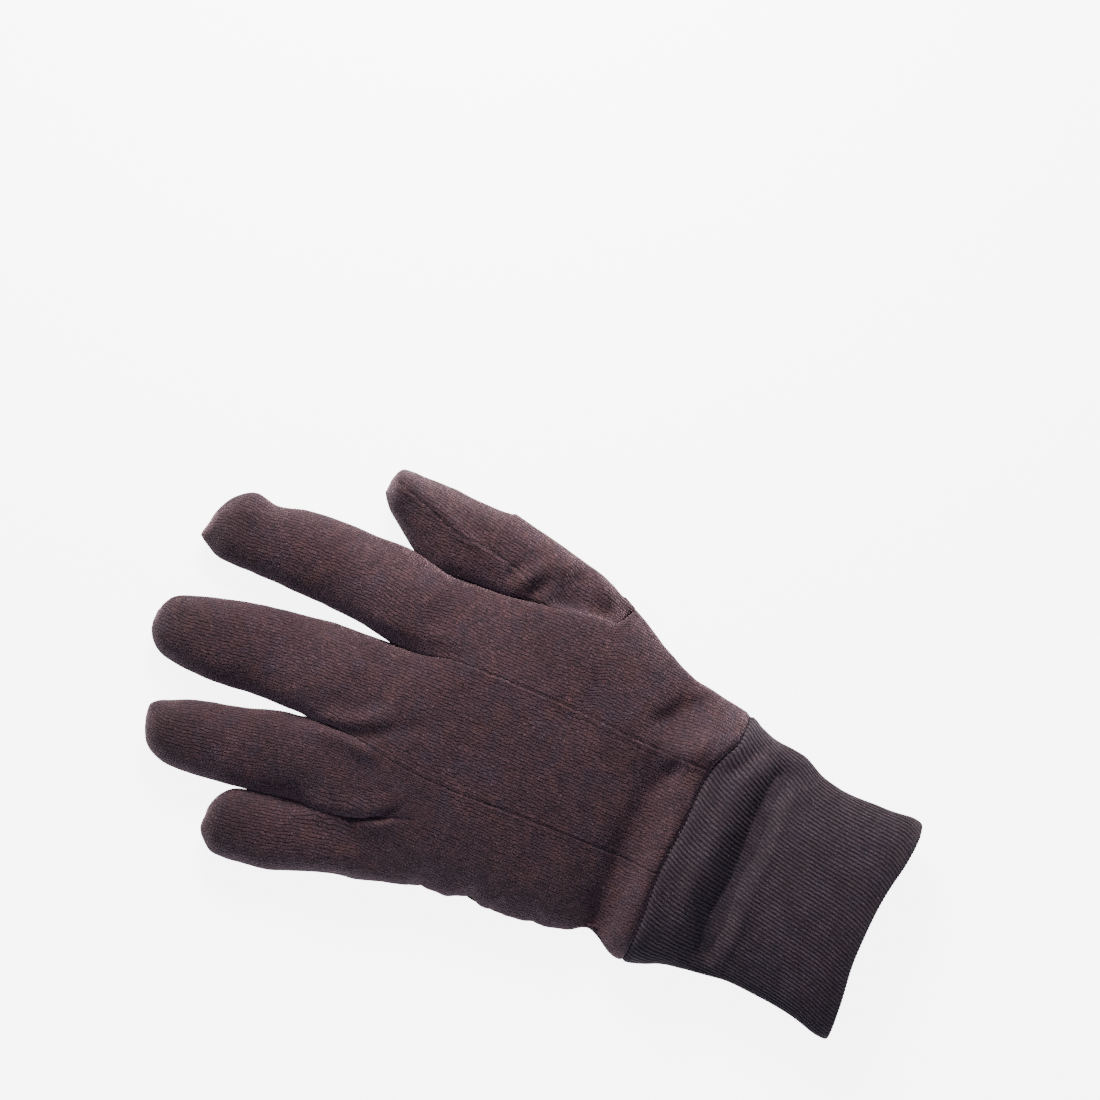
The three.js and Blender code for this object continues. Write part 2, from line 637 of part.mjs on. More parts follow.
// Rims at the side seams are level. A back's lie at or below these heights, an underside's above.
const HAND_SIDE = HAND_THICKNESS * HAND_SEAM + SEAM_GAP * 1.5
const FINGER_SIDE = HAND_THICKNESS * CROTCH.index.height + SEAM_GAP * 1.5
const UNDER_SIDE = Math.min(FINGER_THICKNESS * FINGER_SEAM, HAND_THICKNESS * CROTCH.side.height) * 0.8

const onFinger = (point) => point.y > HAND_LENGTH * CROTCH.outer.along
const backLevel = (point) => point.z < (onFinger(point) ? FINGER_SIDE : HAND_SIDE)
const palmLevel = (point) => point.z > UNDER_SIDE && point.z < FINGER_SIDE

const brownJersey = new THREE.MeshStandardMaterial({ color: 0x4e3a3a, roughness: 0.95, metalness: 0 })
const darkJersey = new THREE.MeshStandardMaterial({ color: 0x463434, roughness: 0.95, metalness: 0 })
const ribKnit = new THREE.MeshStandardMaterial({ color: 0x3a3237, roughness: 0.95, metalness: 0 })

const up = (rows) => ({ rows, up: true })
const down = (rows) => ({ rows, up: false })

const pieces = {
  palm: [panel(['little', 'ring', 'middle', 'index'].map((name) => down(palmStrip(name))), JERSEY_WALL, palmLevel),
    darkJersey],
  back_ring_little: [
    panel([up(backStrip('little', {})), up(backStrip('ring', { right: true }))], JERSEY_WALL, backLevel),
    brownJersey,
  ],
  back_middle: [
    panel([up(backStrip('middle', { left: true, right: true }))], JERSEY_WALL, backLevel),
    brownJersey,
  ],
  back_index: [panel([up(backStrip('index', { left: true }))], JERSEY_WALL, backLevel), brownJersey],
  thumb_front: [panel([down(thumbUnder()), up(thumbWedge())], JERSEY_WALL, palmLevel), darkJersey],
  thumb_back: [panel([up(thumbBack())], JERSEY_WALL, backLevel), brownJersey],
  knit_wrist: [wristGeometry(), ribKnit],
}

const glove = new THREE.Group()
glove.name = 'work_glove'
for (const [name, [geometry, material]] of Object.entries(pieces)) {
  const mesh = new THREE.Mesh(geometry, material)
  mesh.name = name
  glove.add(mesh)
}

// The origin is the middle of the glove's outline, on the ground
const box = new THREE.Box3().setFromObject(glove)
const middle = box.getCenter(new THREE.Vector3())
glove.position.set(-middle.x, -middle.y, -box.min.z)

export default glove
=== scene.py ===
"""A left-hand jersey work glove lying flat, back of the hand up, dressed over its solids.

+Y runs from the knitted wrist to the fingertips, +X is the thumb side and +Z is up. Sizes are in
millimetres, measured from the middle of the wrist seam, until a mesh is made in metres.
"""
import math
from functools import partial

import bpy
import numpy as np
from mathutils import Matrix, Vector, noise


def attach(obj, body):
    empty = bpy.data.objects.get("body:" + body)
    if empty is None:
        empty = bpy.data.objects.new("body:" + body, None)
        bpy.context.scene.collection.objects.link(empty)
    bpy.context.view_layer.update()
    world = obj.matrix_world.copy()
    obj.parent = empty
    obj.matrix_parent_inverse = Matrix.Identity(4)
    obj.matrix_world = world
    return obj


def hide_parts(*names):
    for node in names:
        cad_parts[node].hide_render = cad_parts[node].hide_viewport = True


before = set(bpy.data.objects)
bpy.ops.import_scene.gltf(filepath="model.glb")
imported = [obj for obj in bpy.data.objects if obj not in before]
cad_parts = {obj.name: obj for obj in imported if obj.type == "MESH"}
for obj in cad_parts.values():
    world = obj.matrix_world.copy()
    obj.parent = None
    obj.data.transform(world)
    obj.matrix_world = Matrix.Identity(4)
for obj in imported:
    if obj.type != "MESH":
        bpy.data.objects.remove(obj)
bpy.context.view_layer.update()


# Camera
# Straight overhead, turned so that the fingers point to the left and a little up, with the glove
# low in the frame.
VIEW_MIDDLE = (0.0651, 0.0194)
VIEW_WIDTH = 0.363
VIEW_HEIGHT = 2.5
VIEW_TURN = math.radians(-66.5)
GLOVE_MIDDLE_HEIGHT = 0.012

camera_data = bpy.data.cameras.new("overhead_camera")
camera_data.sensor_width = 36.0
camera_data.lens = camera_data.sensor_width * (VIEW_HEIGHT - GLOVE_MIDDLE_HEIGHT) / VIEW_WIDTH
camera_data.clip_end = 20.0
camera = bpy.data.objects.new("overhead_camera", camera_data)
camera.location = (*VIEW_MIDDLE, VIEW_HEIGHT)
camera.rotation_euler = (0.0, 0.0, VIEW_TURN)
bpy.context.scene.collection.objects.link(camera)
bpy.context.scene.camera = camera


# Floor and light
# A plain floor that glows white, a warm soft light from the thumb's side of the wrist, and a wide
# cool one above.
def add_node(tree, kind, inputs=None, **settings):
    """A node of a tree with its settings. An input gets a value or another node's output."""
    made = tree.nodes.new(kind)
    for name, value in settings.items():
        setattr(made, name, value)
    for name, value in (inputs or {}).items():
        if isinstance(value, bpy.types.NodeSocket):
            tree.links.new(value, made.inputs[name])
        else:
            made.inputs[name].default_value = value
    return made


def new_material(name):
    """An empty node material and its tree."""
    material = bpy.data.materials.new(name)
    material.use_nodes = True
    material.node_tree.nodes.clear()
    return material, material.node_tree


def finish_material(tree, shader):
    """Joins a shader to the material's output."""
    output = add_node(tree, "ShaderNodeOutputMaterial")
    tree.links.new(shader.outputs[0], output.inputs["Surface"])


def map_range(tree, value, limits, to=(0.0, 1.0), kind="LINEAR"):
    """A node's output moved from one pair of limits to another."""
    inputs = {"Value": value, "From Min": limits[0], "From Max": limits[1]}
    inputs.update({"To Min": to[0], "To Max": to[1]})
    return add_node(tree, "ShaderNodeMapRange", inputs, interpolation_type=kind).outputs["Result"]


# How much the floor glows for the light it throws and for the camera
FLOOR_GLOW = (2.0, 6.0)
FLOOR_REACH = 6.0
FLOOR_DROP = 0.0003

floor_material, tree = new_material("pale_floor")
seen = add_node(tree, "ShaderNodeLightPath").outputs["Is Camera Ray"]
floor_shader = add_node(tree, "ShaderNodeBsdfPrincipled", {
    "Base Color": (0.9, 0.9, 0.9, 1.0), "Roughness": 0.9, "Specular IOR Level": 0.1,
    "Emission Color": (1.0, 1.0, 1.0, 1.0),
    "Emission Strength": map_range(tree, seen, (0.0, 1.0), FLOOR_GLOW),
})
finish_material(tree, floor_shader)

floor_mesh = bpy.data.meshes.new("floor")
floor_corners = [(-1, -1), (1, -1), (1, 1), (-1, 1)]
floor_corners = [(x * FLOOR_REACH, y * FLOOR_REACH, -FLOOR_DROP) for x, y in floor_corners]
floor_mesh.from_pydata(floor_corners, [], [(0, 1, 2, 3)])
floor_mesh.materials.append(floor_material)
floor = bpy.data.objects.new("floor", floor_mesh)
bpy.context.scene.collection.objects.link(floor)


def add_light(name, place, size, power, tint):
    """A square soft light that looks at the middle of the glove."""
    data = bpy.data.lights.new(name, "AREA")
    data.shape = "SQUARE"
    data.size = size
    data.energy = power
    data.color = tint
    lamp = bpy.data.objects.new(name, data)
    lamp.location = place
    lamp.rotation_euler = (-Vector(place)).to_track_quat("-Z", "Y").to_euler()
    bpy.context.scene.collection.objects.link(lamp)


add_light("key_light", (0.38, 0.19, 0.34), 0.22, 7.6, (1.0, 0.92, 0.86))
add_light("fill_light", (-0.3, -0.3, 1.6), 1.4, 9.5, (0.72, 0.74, 1.0))

world = bpy.data.worlds.new("studio")
world.use_nodes = True
world.node_tree.nodes["Background"].inputs["Color"].default_value = (0.8, 0.84, 1.0, 1.0)
world.node_tree.nodes["Background"].inputs["Strength"].default_value = 0.2
bpy.context.scene.world = world


# Palm
# One piece of jersey with the fronts of the four fingers, brushed inside. It is cut flat, and sewn
# to the backs along the sides of the hand and fingers with the seams turned in.
HAND_LENGTH = 111.0
HAND_THICKNESS = 28.0
FINGER_THICKNESS = 16.5
THUMB_THICKNESS = 18.0
JERSEY_WALL = 1.8
FINGER_WIDTH = {"little": 19.0, "ring": 24.3, "middle": 33.1, "index": 28.3, "thumb": 26.6}
HAND_WIDTH = sum(FINGER_WIDTH[name] for name in ("little", "ring", "middle", "index"))
HAND_SEAM = 0.33
FINGER_SEAM = 0.4
ROUNDNESS = 2.3
SEAM_GAP = 0.12

# The middle of the wrist seam in the frame
HAND_PLACE = np.array([-7.971, -56.417, 0.0])
MILLIMETRE = 0.001

# Crotches: share of hand length, share of hand thickness
CROTCH = {
    "outer": (0.829, HAND_SEAM),
    "ring": (0.91, 0.36),
    "middle": (1.135, 0.43),
    "index": (1.009, 0.45),
    "thumb": (0.91, 0.4),
    "side": (0.829, 0.3),
    "palm": (0.91, 0.4),
}
CROTCH_X = {
    "outer": -HAND_WIDTH / 2,
    "ring": -HAND_WIDTH / 2 + FINGER_WIDTH["little"],
    "middle": -HAND_WIDTH / 2 + FINGER_WIDTH["little"] + FINGER_WIDTH["ring"],
    "index": HAND_WIDTH / 2 - FINGER_WIDTH["index"],
    "thumb": HAND_WIDTH / 2, "side": HAND_WIDTH / 2 + FINGER_WIDTH["thumb"],
    "palm": HAND_WIDTH / 2,
}


def table(names, rows):
    """Columns of numbers by name."""
    return dict(zip(names.split(), np.array(rows, float).T))


# Lengthwise lines of the hand, as shares of its width; bulge is a share of the thumb's width
LINES = table("along outer ring middle index thumb bulge palm", [
    (0, -0.402, -0.258, -0.099, 0.262, 0.475, 0, 0.071),
    (0.05, -0.394, -0.258, -0.098, 0.26, 0.492, 0, 0.087),
    (0.1, -0.362, -0.256, -0.097, 0.258, 0.501, 0, 0.105),
    (0.135, -0.353, -0.256, -0.097, 0.257, 0.506, 0.01, 0.116),
    (0.19, -0.381, -0.255, -0.098, 0.259, 0.515, 0.07, 0.133),
    (0.27, -0.403, -0.253, -0.1, 0.263, 0.539, 0.13, 0.159),
    (0.38, -0.417, -0.25, -0.103, 0.268, 0.568, 0.27, 0.195),
    (0.5, -0.417, -0.247, -0.106, 0.272, 0.561, 0.5, 0.236),
    (0.62, -0.443, -0.245, -0.115, 0.269, 0.534, 0.726, 0.286),
    (0.74, -0.471, -0.251, -0.115, 0.265, 0.513, 0.914, 0.372),
    (0.83, -0.5, -0.287, -0.11, 0.256, 0.506, 1, 0.439),
    (0.91, -0.5, -0.319, -0.098, 0.236, 0.5, 1, 0.5),
    (1.009, -0.5, -0.319, -0.083, 0.23, 0.5, 1, 0.5),
    (1.135, -0.5, -0.319, -0.086, 0.23, 0.5, 1, 0.5),
])

# Heights along the hand, as shares of its thickness
HEIGHTS = table("along crown under thumb pad", [
    (0, 0.78, 0.04, 0.33, 0.4),
    (0.05, 0.96, -0.08, 0.33, 0.4),
    (0.1, 0.82, 0.01, 0.33, 0.4),
    (0.14, 0.7, 0.07, 0.33, 0.4),
    (0.19, 0.79, 0, 0.33, 0.4),
    (0.27, 0.89, -0.08, 0.33, 0.4),
    (0.38, 0.95, -0.1, 0.5, 0.46),
    (0.41, 0.96, -0.1, 0.62, 0.5),
    (0.5, 0.98, -0.1, 0.71, 0.6),
    (0.62, 1, -0.1, 0.7, 0.56),
    (0.68, 1, -0.1, 0.68, 0.68),
    (0.74, 1, -0.1, 0.62, 0.66),
    (0.84, 0.98, -0.1, 0.52, 0.66),
    (0.92, 0.95, -0.1, 0.42, 0.66),
    (1, 0.93, -0.1, 0.4, 0.66),
])

# Levels for the sides of each finger, which bow away from the straight line between root and tip
# corner, as shares of its width
SIDE_LEVELS = (0, 0.2, 0.35, 0.5, 0.65, 0.78, 0.88, 0.96, 1)


def finger(name, between, length, lean, tip, slant, root, thickness, left, right):
    """One finger's sizes: length, lean in degrees, blunt tip, and how its two sides bow."""
    lean = math.radians(lean)
    return {
        "width": FINGER_WIDTH[name], "between": between, "length": length,
        "axis": np.array([math.sin(lean), math.cos(lean)]),
        "tip": tip, "slant": slant, "root": root, "thickness": thickness,
        "sides": table("along left right", list(zip(SIDE_LEVELS, left, right))),
    }


FINGERS = {
    "little": finger(
        "little", ("outer", "ring"), 50.1, -11.2, 0.47, -0.01, 0.72, FINGER_THICKNESS,
        (0, -0.08, -0.2, -0.33, -0.37, -0.39, -0.36, -0.16, 0),
        (0, 0.12, 0.2, 0.25, 0.28, 0.3, 0.31, 0.19, 0),
    ),
    "ring": finger(
        "ring", ("ring", "middle"), 63.6, -7.6, 0.3, 0.06, 0.86, FINGER_THICKNESS,
        (0, -0.09, -0.19, -0.28, -0.35, -0.39, -0.36, -0.22, 0),
        (0, 0.05, 0.05, 0.07, 0.1, 0.11, 0.08, 0.05, 0),
    ),
    "middle": finger(
        "middle", ("middle", "index"), 67.8, -5.4, 0.23, -0.01, 0.9, FINGER_THICKNESS,
        (0, -0.05, -0.09, -0.15, -0.2, -0.21, -0.19, -0.11, 0),
        (0, 0.09, 0.13, 0.17, 0.19, 0.18, 0.16, 0.12, 0),
    ),
    "index": finger(
        "index", ("index", "thumb"), 76.6, -1.2, 0.38, -0.07, 0.9, FINGER_THICKNESS,
        (0, 0.02, 0, -0.04, -0.06, -0.09, -0.12, -0.05, 0),
        (0, 0.17, 0.22, 0.27, 0.28, 0.23, 0.31, 0.19, 0),
    ),
    "thumb": finger(
        "thumb", ("thumb", "side"), 37.1, 10.6, 0.28, -0.03, 0.66, THUMB_THICKNESS,
        (0, -0.18, -0.22, -0.21, -0.175, -0.14, -0.11, -0.05, 0),
        (0, 0.01, 0.03, 0.07, 0.08, 0.09, 0.1, 0.08, 0),
    ),
}

# How the wrist seam and the free edge sweep, at shares of hand width from its middle
SWEEP = table("across seam edge", [
    (-0.42, 0, 0.025),
    (-0.26, -0.002, 0.012),
    (-0.1, 0.007, -0.015),
    (0.08, -0.004, -0.008),
    (0.262, -0.012, 0.03),
    (0.33, -0.036, 0.04),
    (0.38, -0.058, 0.03),
    (0.475, -0.063, 0.025),
])

# Rows of the hand: where strips draw out to their own crotches, where the sweep of the wrist seam
# ends, and where the fingers' own round sections begin
REACH_START = 0.4
SWEEP_END = 0.1
FINGER_START = 0.76
# Shares of a finger's length: how soon it has its own thickness and a gap to its neighbour, and
# where its tip begins to close
SETTLE_END = 0.45
GAP_END = 0.08
TIP_START = 0.84
FINGER_UNDER = -0.08


def mix(a, b, share):
    """The value a share of the way from a to b."""
    return a + (b - a) * share


def ease(value, start=0, span=1):
    """A smooth step from 0 to 1 that begins at start and takes span."""
    value = np.clip((value - start) / span, 0.0, 1.0)
    return value * value * (3 - 2 * value)


def bell(value, width, middle=0):
    """A bump of height 1 round a middle."""
    return np.exp(-((value - middle) / width) ** 2)


def read(columns, name, level, key="along"):
    """A column of a table at levels between its rows, along a smooth curve."""
    x, y = columns[key], columns[name]
    before = np.maximum(np.arange(len(x)) - 1, 0)
    after = np.minimum(np.arange(len(x)) + 1, len(x) - 1)
    slope = (y[after] - y[before]) / (x[after] - x[before])
    level = np.clip(level, x[0], x[-1])
    i = np.clip(np.searchsorted(x, level, side="right") - 1, 0, len(x) - 2)
    span = x[i + 1] - x[i]
    t = (level - x[i]) / span
    bend = t * (1 - t) * span
    return mix(y[i], y[i + 1], ease(t)) + bend * ((1 - t) * slope[i] - t * slope[i + 1])


def seam_sweep(x):
    """How far along the hand the wrist seam lies at a place across it."""
    return HAND_LENGTH * read(SWEEP, "seam", x / HAND_WIDTH, "across")


def hand_line(line, row):
    """One of the hand's lengthwise lines in plan, row 0 at the wrist seam and 1 at the crotches."""
    reach = CROTCH[line][0]
    along = row + (reach - 1) * ease(row, REACH_START, 1 - REACH_START)
    if line == "side":
        x = HAND_WIDTH * read(LINES, "thumb", along)
        x = x + FINGER_WIDTH["thumb"] * read(LINES, "bulge", along)
    else:
        drift = CROTCH_X[line] / HAND_WIDTH - read(LINES, line, reach)
        x = HAND_WIDTH * (read(LINES, line, along) + drift * along / reach)
    return np.stack([x, HAND_LENGTH * along], -1)


def spread(row, left, right, share):
    """Points of each row between its two ends, which follow the wrist seam where they are near."""
    plan = mix(left, right, share[..., None])
    plan[..., 1] += np.maximum(0, 1 - row / SWEEP_END) * seam_sweep(plan[..., 0])
    return plan


def finger_share(row):
    """How much a point of the hand belongs to its finger's own round section."""
    return np.maximum(0, (row - FINGER_START) / (1 - FINGER_START)) ** 2


def swell(across):
    """Half-round swelling of a section, 0 at both edges and 1 in the middle."""
    return np.sqrt(np.maximum(0, 1 - np.abs(across) ** ROUNDNESS))


def under_height(row, share):
    """Height of the underside of the hand."""
    seam = HAND_THICKNESS * HAND_SEAM
    low = HAND_THICKNESS * read(HEIGHTS, "under", row)
    return np.maximum(0, seam - (seam - low) * swell(share * 2 - 1))


def finger_edges(shape, along):
    """Left and right edge of a finger in plan."""
    root = [np.array([CROTCH_X[line], HAND_LENGTH * CROTCH[line][0]]) for line in shape["between"]]
    tip = (root[0] + root[1]) / 2 + shape["length"] * shape["axis"]
    corner = np.array([shape["tip"], shape["slant"]]) * shape["width"] / 2
    ends = []
    for start, side, sign in zip(root, ("left", "right"), (-1, 1)):
        edge = mix(start, tip + sign * corner, along[..., None])
        edge[..., 0] += shape["width"] * read(shape["sides"], side, along)
        # Two fingers that start at one crotch keep a gap between their sides
        edge[..., 0] -= sign * SEAM_GAP * np.minimum(1, along / GAP_END)
        ends.append(edge)
    return ends


def finger_points(shape, along, across, top):
    """Points of a finger's top or underside. across goes from -1 to 1."""
    left, right = finger_edges(shape, along)
    share = (across + 1) / 2
    plan = mix(left, right, share[..., None])
    settle = ease(along, 0, SETTLE_END)
    thick = shape["thickness"]
    closing = np.maximum(0, (along - TIP_START) / (1 - TIP_START))
    close = np.sqrt(np.maximum(0, 1 - closing ** 2))
    seams = [
        mix(HAND_THICKNESS * CROTCH[line][1], thick * FINGER_SEAM, settle)
        for line in shape["between"]
    ]
    base = mix(seams[0], seams[1], share)
    far = mix(HAND_THICKNESS * shape["root"], thick, settle) if top else FINGER_UNDER * thick
    height = base + (far - base) * swell(across) * close
    return np.concatenate([plan, np.maximum(0, height)[..., None]], -1)


HAND_ROWS = np.linspace(0, 1, 104)[:-1, None]
even_rows = np.linspace(0, 1, 66)[:, None]
FINGER_ROWS = 0.35 * np.sin(even_rows * math.pi / 2) + 0.65 * even_rows
STRIP_COLUMNS = {"little": 23, "ring": 27, "middle": 35, "index": 31, "thumb": 27}


def crowded(count):
    """Places from -1 to 1, closer together at both ends, where a section turns down."""
    return np.sin(np.linspace(-1, 1, count) * math.pi / 2)[None, :]


def hand_points(shape, row, across, plan, height, top):
    """Points of the hand at a height, which turns into a finger's own round section."""
    own = finger_points(shape, np.zeros(1), across, top)[..., 2]
    return np.concatenate([plan, mix(height, own, finger_share(row))[..., None]], -1)


def under_points(shape, row, across, plan):
    """The underside of the hand above a place in plan."""
    left, right = hand_line("outer", row)[..., 0], hand_line("side", row)[..., 0]
    height = under_height(row, (plan[..., 0] - left) / (right - left))
    return hand_points(shape, row, across, plan, height, False)


def cloth_lengths(points):
    """Distances over the cloth of a grid's points from the left and from the right end of a row."""
    steps = np.linalg.norm(np.diff(points, axis=1), axis=2)
    run = np.concatenate([np.zeros((len(points), 1)), np.cumsum(steps, 1)], 1)
    return run, run[:, -1:] - run


# Seams where one edge sinks under another's lip: depth, lip and darkness of painted groove shade
SEAMS = {
    "sewn": (0.36, 0.05, 1.0), "lip": (0.1, 0.4, 1.0), "ridge": (0.05, 0.9, 1.0),
    "faint": (0.26, 0.16, 0.8),
}
# Other depths: of the hollows where these seams near a crotch, of side seams and of edges that lap
# down onto another piece
CROTCH_DIP = 0.5
SIDE_GROOVE = 0.5
LAP_DEPTH = 1.5
# Widths across: of the sunk edge, its painted shade and the dip near a crotch, of a side seam, and
# of a lap. Middle and width of the lip, and height, width and middle of the puff at a side seam
SINK_WIDTH = 0.5
SEAM_SHADE_WIDTH = 0.35
DIP_WIDTH = 3.2
SIDE_WIDTH = 0.8
LAP_WIDTH = 1.1
LIP_PLACE, LIP_WIDTH = 1.0, 0.6
PUFF, PUFF_WIDTH, PUFF_PLACE = 0.32, 1.4, 2.5
# How far from an edge its cloth moves only up and down, and how far a finger's own edge is held
UPRIGHT_REACH = 3.5
HELD_REACH = 1.2


def edge_relief(from_left, from_right, rows, edges):
    """How the cloth sinks along its edges: inwards at a side seam, straight down at others.

    Each edge says what it is on the lower hand, the upper hand and the finger, and the row where
    the first gives way to the second.
    """
    inward, down, upright, held, seam = (np.zeros(from_left.shape) for _ in range(5))
    row = np.concatenate([rows, 1 + FINGER_ROWS])
    onward = ease(row, 1, 0.08)
    crotch_dip = CROTCH_DIP * ease(row, 0.72, 0.16) * (1 - ease(row, 0.92, 0.08))
    lap_depth = LAP_DEPTH * mix(0.25, 1, ease(row, 0.5, 0.2))
    for run, (low, high, own, split) in zip((from_left, from_right), edges):
        turn = ease(row, split, 0.03)
        stretches = (
            (low, (1 - turn) * (1 - onward), False), (high, turn * (1 - onward), False),
            (own, onward, True),
        )
        for kind, weight, on_finger in stretches:
            beside = bell(run, UPRIGHT_REACH)
            if kind == "side":
                spared = ease(row, 1, 0.2) if on_finger else 1
                puff = PUFF * bell(run, PUFF_WIDTH, PUFF_PLACE) - bell(run, SIDE_WIDTH)
                inward += spared * weight * SIDE_GROOVE * puff
                beside = beside * (1 - ease(row, 1, 0.3)) if on_finger else 0
                held = np.maximum(held, weight * bell(run, HELD_REACH) * on_finger)
            upright = np.maximum(upright, weight * beside)
            if kind in SEAMS:
                depth, lip, shade = SEAMS[kind]
                lip = lip * bell(run, LIP_WIDTH, LIP_PLACE)
                down += weight * (lip - depth * bell(run, SINK_WIDTH))
                down -= weight * crotch_dip * bell(run, DIP_WIDTH)
                # The seam mark darkens the colour along the groove as painted shade
                seam = np.maximum(seam, shade * weight * bell(run, SEAM_SHADE_WIDTH))
            if kind == "lap":
                down -= weight * lap_depth * bell(run, LAP_WIDTH)
    return {"inward": inward, "down": down, "upright": upright, "held": held, "seam": seam}


def strip(shape, hand, tip, up, edges):
    """One finger's strip of cloth from the wrist seam to the tip, with wales along its middle.

    Knit coordinates: the first runs across the wales, the second along them.
    """
    points = np.concatenate([hand, tip])
    from_left, from_right = cloth_lengths(points)
    count = len(hand)
    middle = hand[:, :, 0].mean(1)
    u = from_left - from_left[:, -1:] / 2
    u[:count] += middle[:, None]
    u[count:] += middle[-1]
    v = points[..., 1].copy()
    # On the finger the wales turn along its lean
    root = tip[0].mean(0)[:2]
    own = (tip[..., :2] - root) @ shape["axis"] + root[1]
    v[count:] = mix(v[count:], own, ease(FINGER_ROWS, 0, 0.5))
    relief = edge_relief(from_left, from_right, HAND_ROWS, edges)
    return {"points": points, "knit": np.stack([u, v, np.zeros_like(u)], -1), "up": up, **relief}


# What an edge is on the lower hand, the upper hand and the finger
SIDE_EDGE = ("side", "side", "side", 0.5)
SEWN_EDGE = ("sewn", "sewn", "side", 0.5)
LIP_EDGE = ("lip", "lip", "side", 0.5)
FAINT_EDGE = ("faint", "faint", "side", 0.5)
SHARED_EDGE = ("shared", "shared", "side", 0.5)
PALM_EDGE = ("side", "shared", "side", 0.8)


def palm_strip(name):
    """One finger's strip of the palm."""
    shape = FINGERS[name]
    across = crowded(STRIP_COLUMNS[name])
    outer, seam = hand_line("outer", HAND_ROWS), hand_line("palm", HAND_ROWS)
    ends = []
    for line in shape["between"]:
        share = (CROTCH_X[line] + HAND_WIDTH / 2) / HAND_WIDTH
        along = (seam if line == "thumb" else hand_line(line, HAND_ROWS))[..., 1]
        ends.append(np.stack([mix(outer[..., 0], seam[..., 0], share), along], -1))
    plan = spread(HAND_ROWS, ends[0], ends[1], (across + 1) / 2)
    hand = under_points(shape, HAND_ROWS, across, plan)
    tip = finger_points(shape, FINGER_ROWS, across, False)
    if name == "index":
        hand[:, -1, 0] -= SEAM_GAP
    left = SIDE_EDGE if name == "little" else SHARED_EDGE
    right = PALM_EDGE if name == "index" else SHARED_EDGE
    return strip(shape, hand, tip, False, (left, right))


# Folds and ridges in the cloth, as lines in plan: height (valleys below 0), width, and the line
UNDER_FOLDS = [
    (-0.9, 2.6, [(-36, 16), (-20, 15), (0, 15.5), (20, 15), (44, 14)]),
    (0.8, 2.8, [(-36, 7), (-16, 6), (8, 6.5), (30, 5), (46, 3)]),
    (-1.0, 2.4, [(-50, 70), (-42, 69), (-34, 70)]),
    (-0.8, 2.2, [(-49, 57), (-41, 57), (-36, 58)]),
    (-0.7, 2.4, [(-47, 33), (-40, 34), (-34, 36)]),
    (-0.7, 2.2, [(-30, 96), (-20, 92), (-8, 93)]),
    (-0.7, 2.2, [(-6, 100), (6, 96), (18, 97)]),
    (-0.6, 2.4, [(26, 96), (36, 92), (46, 91)]),
]


# Longest stretch over which a fold fades in at its ends
FADE_LENGTH = 11.0


def fold_relief(plan, folds):
    """How far the folds lift or sink the cloth at each place in plan."""
    relief = np.zeros(len(plan))
    for height, width, line in folds:
        corners = np.array(line, float)
        steps = np.diff(corners, axis=0)
        lengths = np.linalg.norm(steps, axis=1)
        starts = np.concatenate([[0], np.cumsum(lengths)])
        nearest, run = np.full(len(plan), np.inf), np.zeros(len(plan))
        for corner, step, length, start in zip(corners, steps, lengths, starts):
            way = step / length
            t = np.clip((plan - corner) @ way, 0, length)
            gap = np.linalg.norm(plan - corner - t[:, None] * way, axis=1)
            run = np.where(gap < nearest, start + t, run)
            nearest = np.minimum(nearest, gap)
        total = starts[-1]
        fade = ease(np.minimum(run, total - run) / min(0.4 * total, FADE_LENGTH) + 0.15)
        relief += height * fade * bell(nearest, width)
    return relief


UP = np.array([0.0, 0.0, 1.0])


def unit(vectors):
    """Vectors brought to length 1. One without a length stays as it is."""
    return vectors / np.maximum(np.linalg.norm(vectors, axis=1, keepdims=True), 1e-12)


def vertex_normals(points, faces):
    """Normals of a mesh's points, outwards. A triangle is a face with one corner twice."""
    a, b, c, d = (points[faces[:, i]] for i in range(4))
    normals = np.zeros_like(points)
    for i in range(4):
        np.add.at(normals, faces[:, i], np.cross(c - a, d - b))
    return unit(normals)


def cloth_noise(points, scale, seed):
    """Smooth noise from -1 to 1 at each point."""
    return np.array([noise.noise(Vector(p) * scale + Vector((seed, 0, 0))) for p in points])


def make_object(name, points, faces, knit, material, shade_marks):
    """A smooth mesh object in metres in the frame, with knit coordinates and painted shade by name.
    """
    mesh = bpy.data.meshes.new(name)
    corners = [tuple(dict.fromkeys(face)) for face in faces.tolist()]
    mesh.from_pydata(((points + HAND_PLACE) * MILLIMETRE).tolist(), [], corners)
    mesh.shade_smooth()
    mesh.attributes.new("knit", "FLOAT_VECTOR", "POINT").data.foreach_set("vector", knit.ravel())
    for label, values in shade_marks.items():
        mesh.attributes.new(label, "FLOAT", "POINT").data.foreach_set("value", values)
    mesh.materials.append(material)
    mesh.validate()
    made = bpy.data.objects.new(name, mesh)
    bpy.context.scene.collection.objects.link(made)
    return made


# Painted shade greys a fingertip within this far of its end, and fades over a share of its length
TIP_SHADE_END = 6
TIP_SHADE_FADE = 0.4


def fingertip_share(points):
    """How near each point is to the tip of the finger that it lies on, from 0 to 1."""
    share = np.zeros(len(points))
    for shape in FINGERS.values():
        left, right = finger_edges(shape, np.ones(1))
        gap = np.linalg.norm(points[:, :2] - (left[0] + right[0]) / 2, axis=1)
        share = np.maximum(share, 1 - ease(gap, TIP_SHADE_END, TIP_SHADE_FADE * shape["length"]))
    return share


def upright_on_top(normals, share):
    """Turns directions to straight up on a piece's top, so that deep folds stay apart."""
    share = share * ease(normals[:, 2:], 0.2, 0.3)
    return unit(mix(normals, UP, share))


# Cloth beside the wrist seam: the seam's groove, and how far the cloth on each side of it swells
WRIST_GROOVE, GROOVE_WIDTH = 0.7, 0.6
WRIST_PUFF, WRIST_PUFF_WIDTH, WRIST_PUFF_PLACE = 0.25, 1.4, 2.4
WRIST_LIFT, LITTLE_SIDE_LOSS = 5.2, 0.4
JERSEY_REACH = 3.8
KNIT_REACH = 8.0
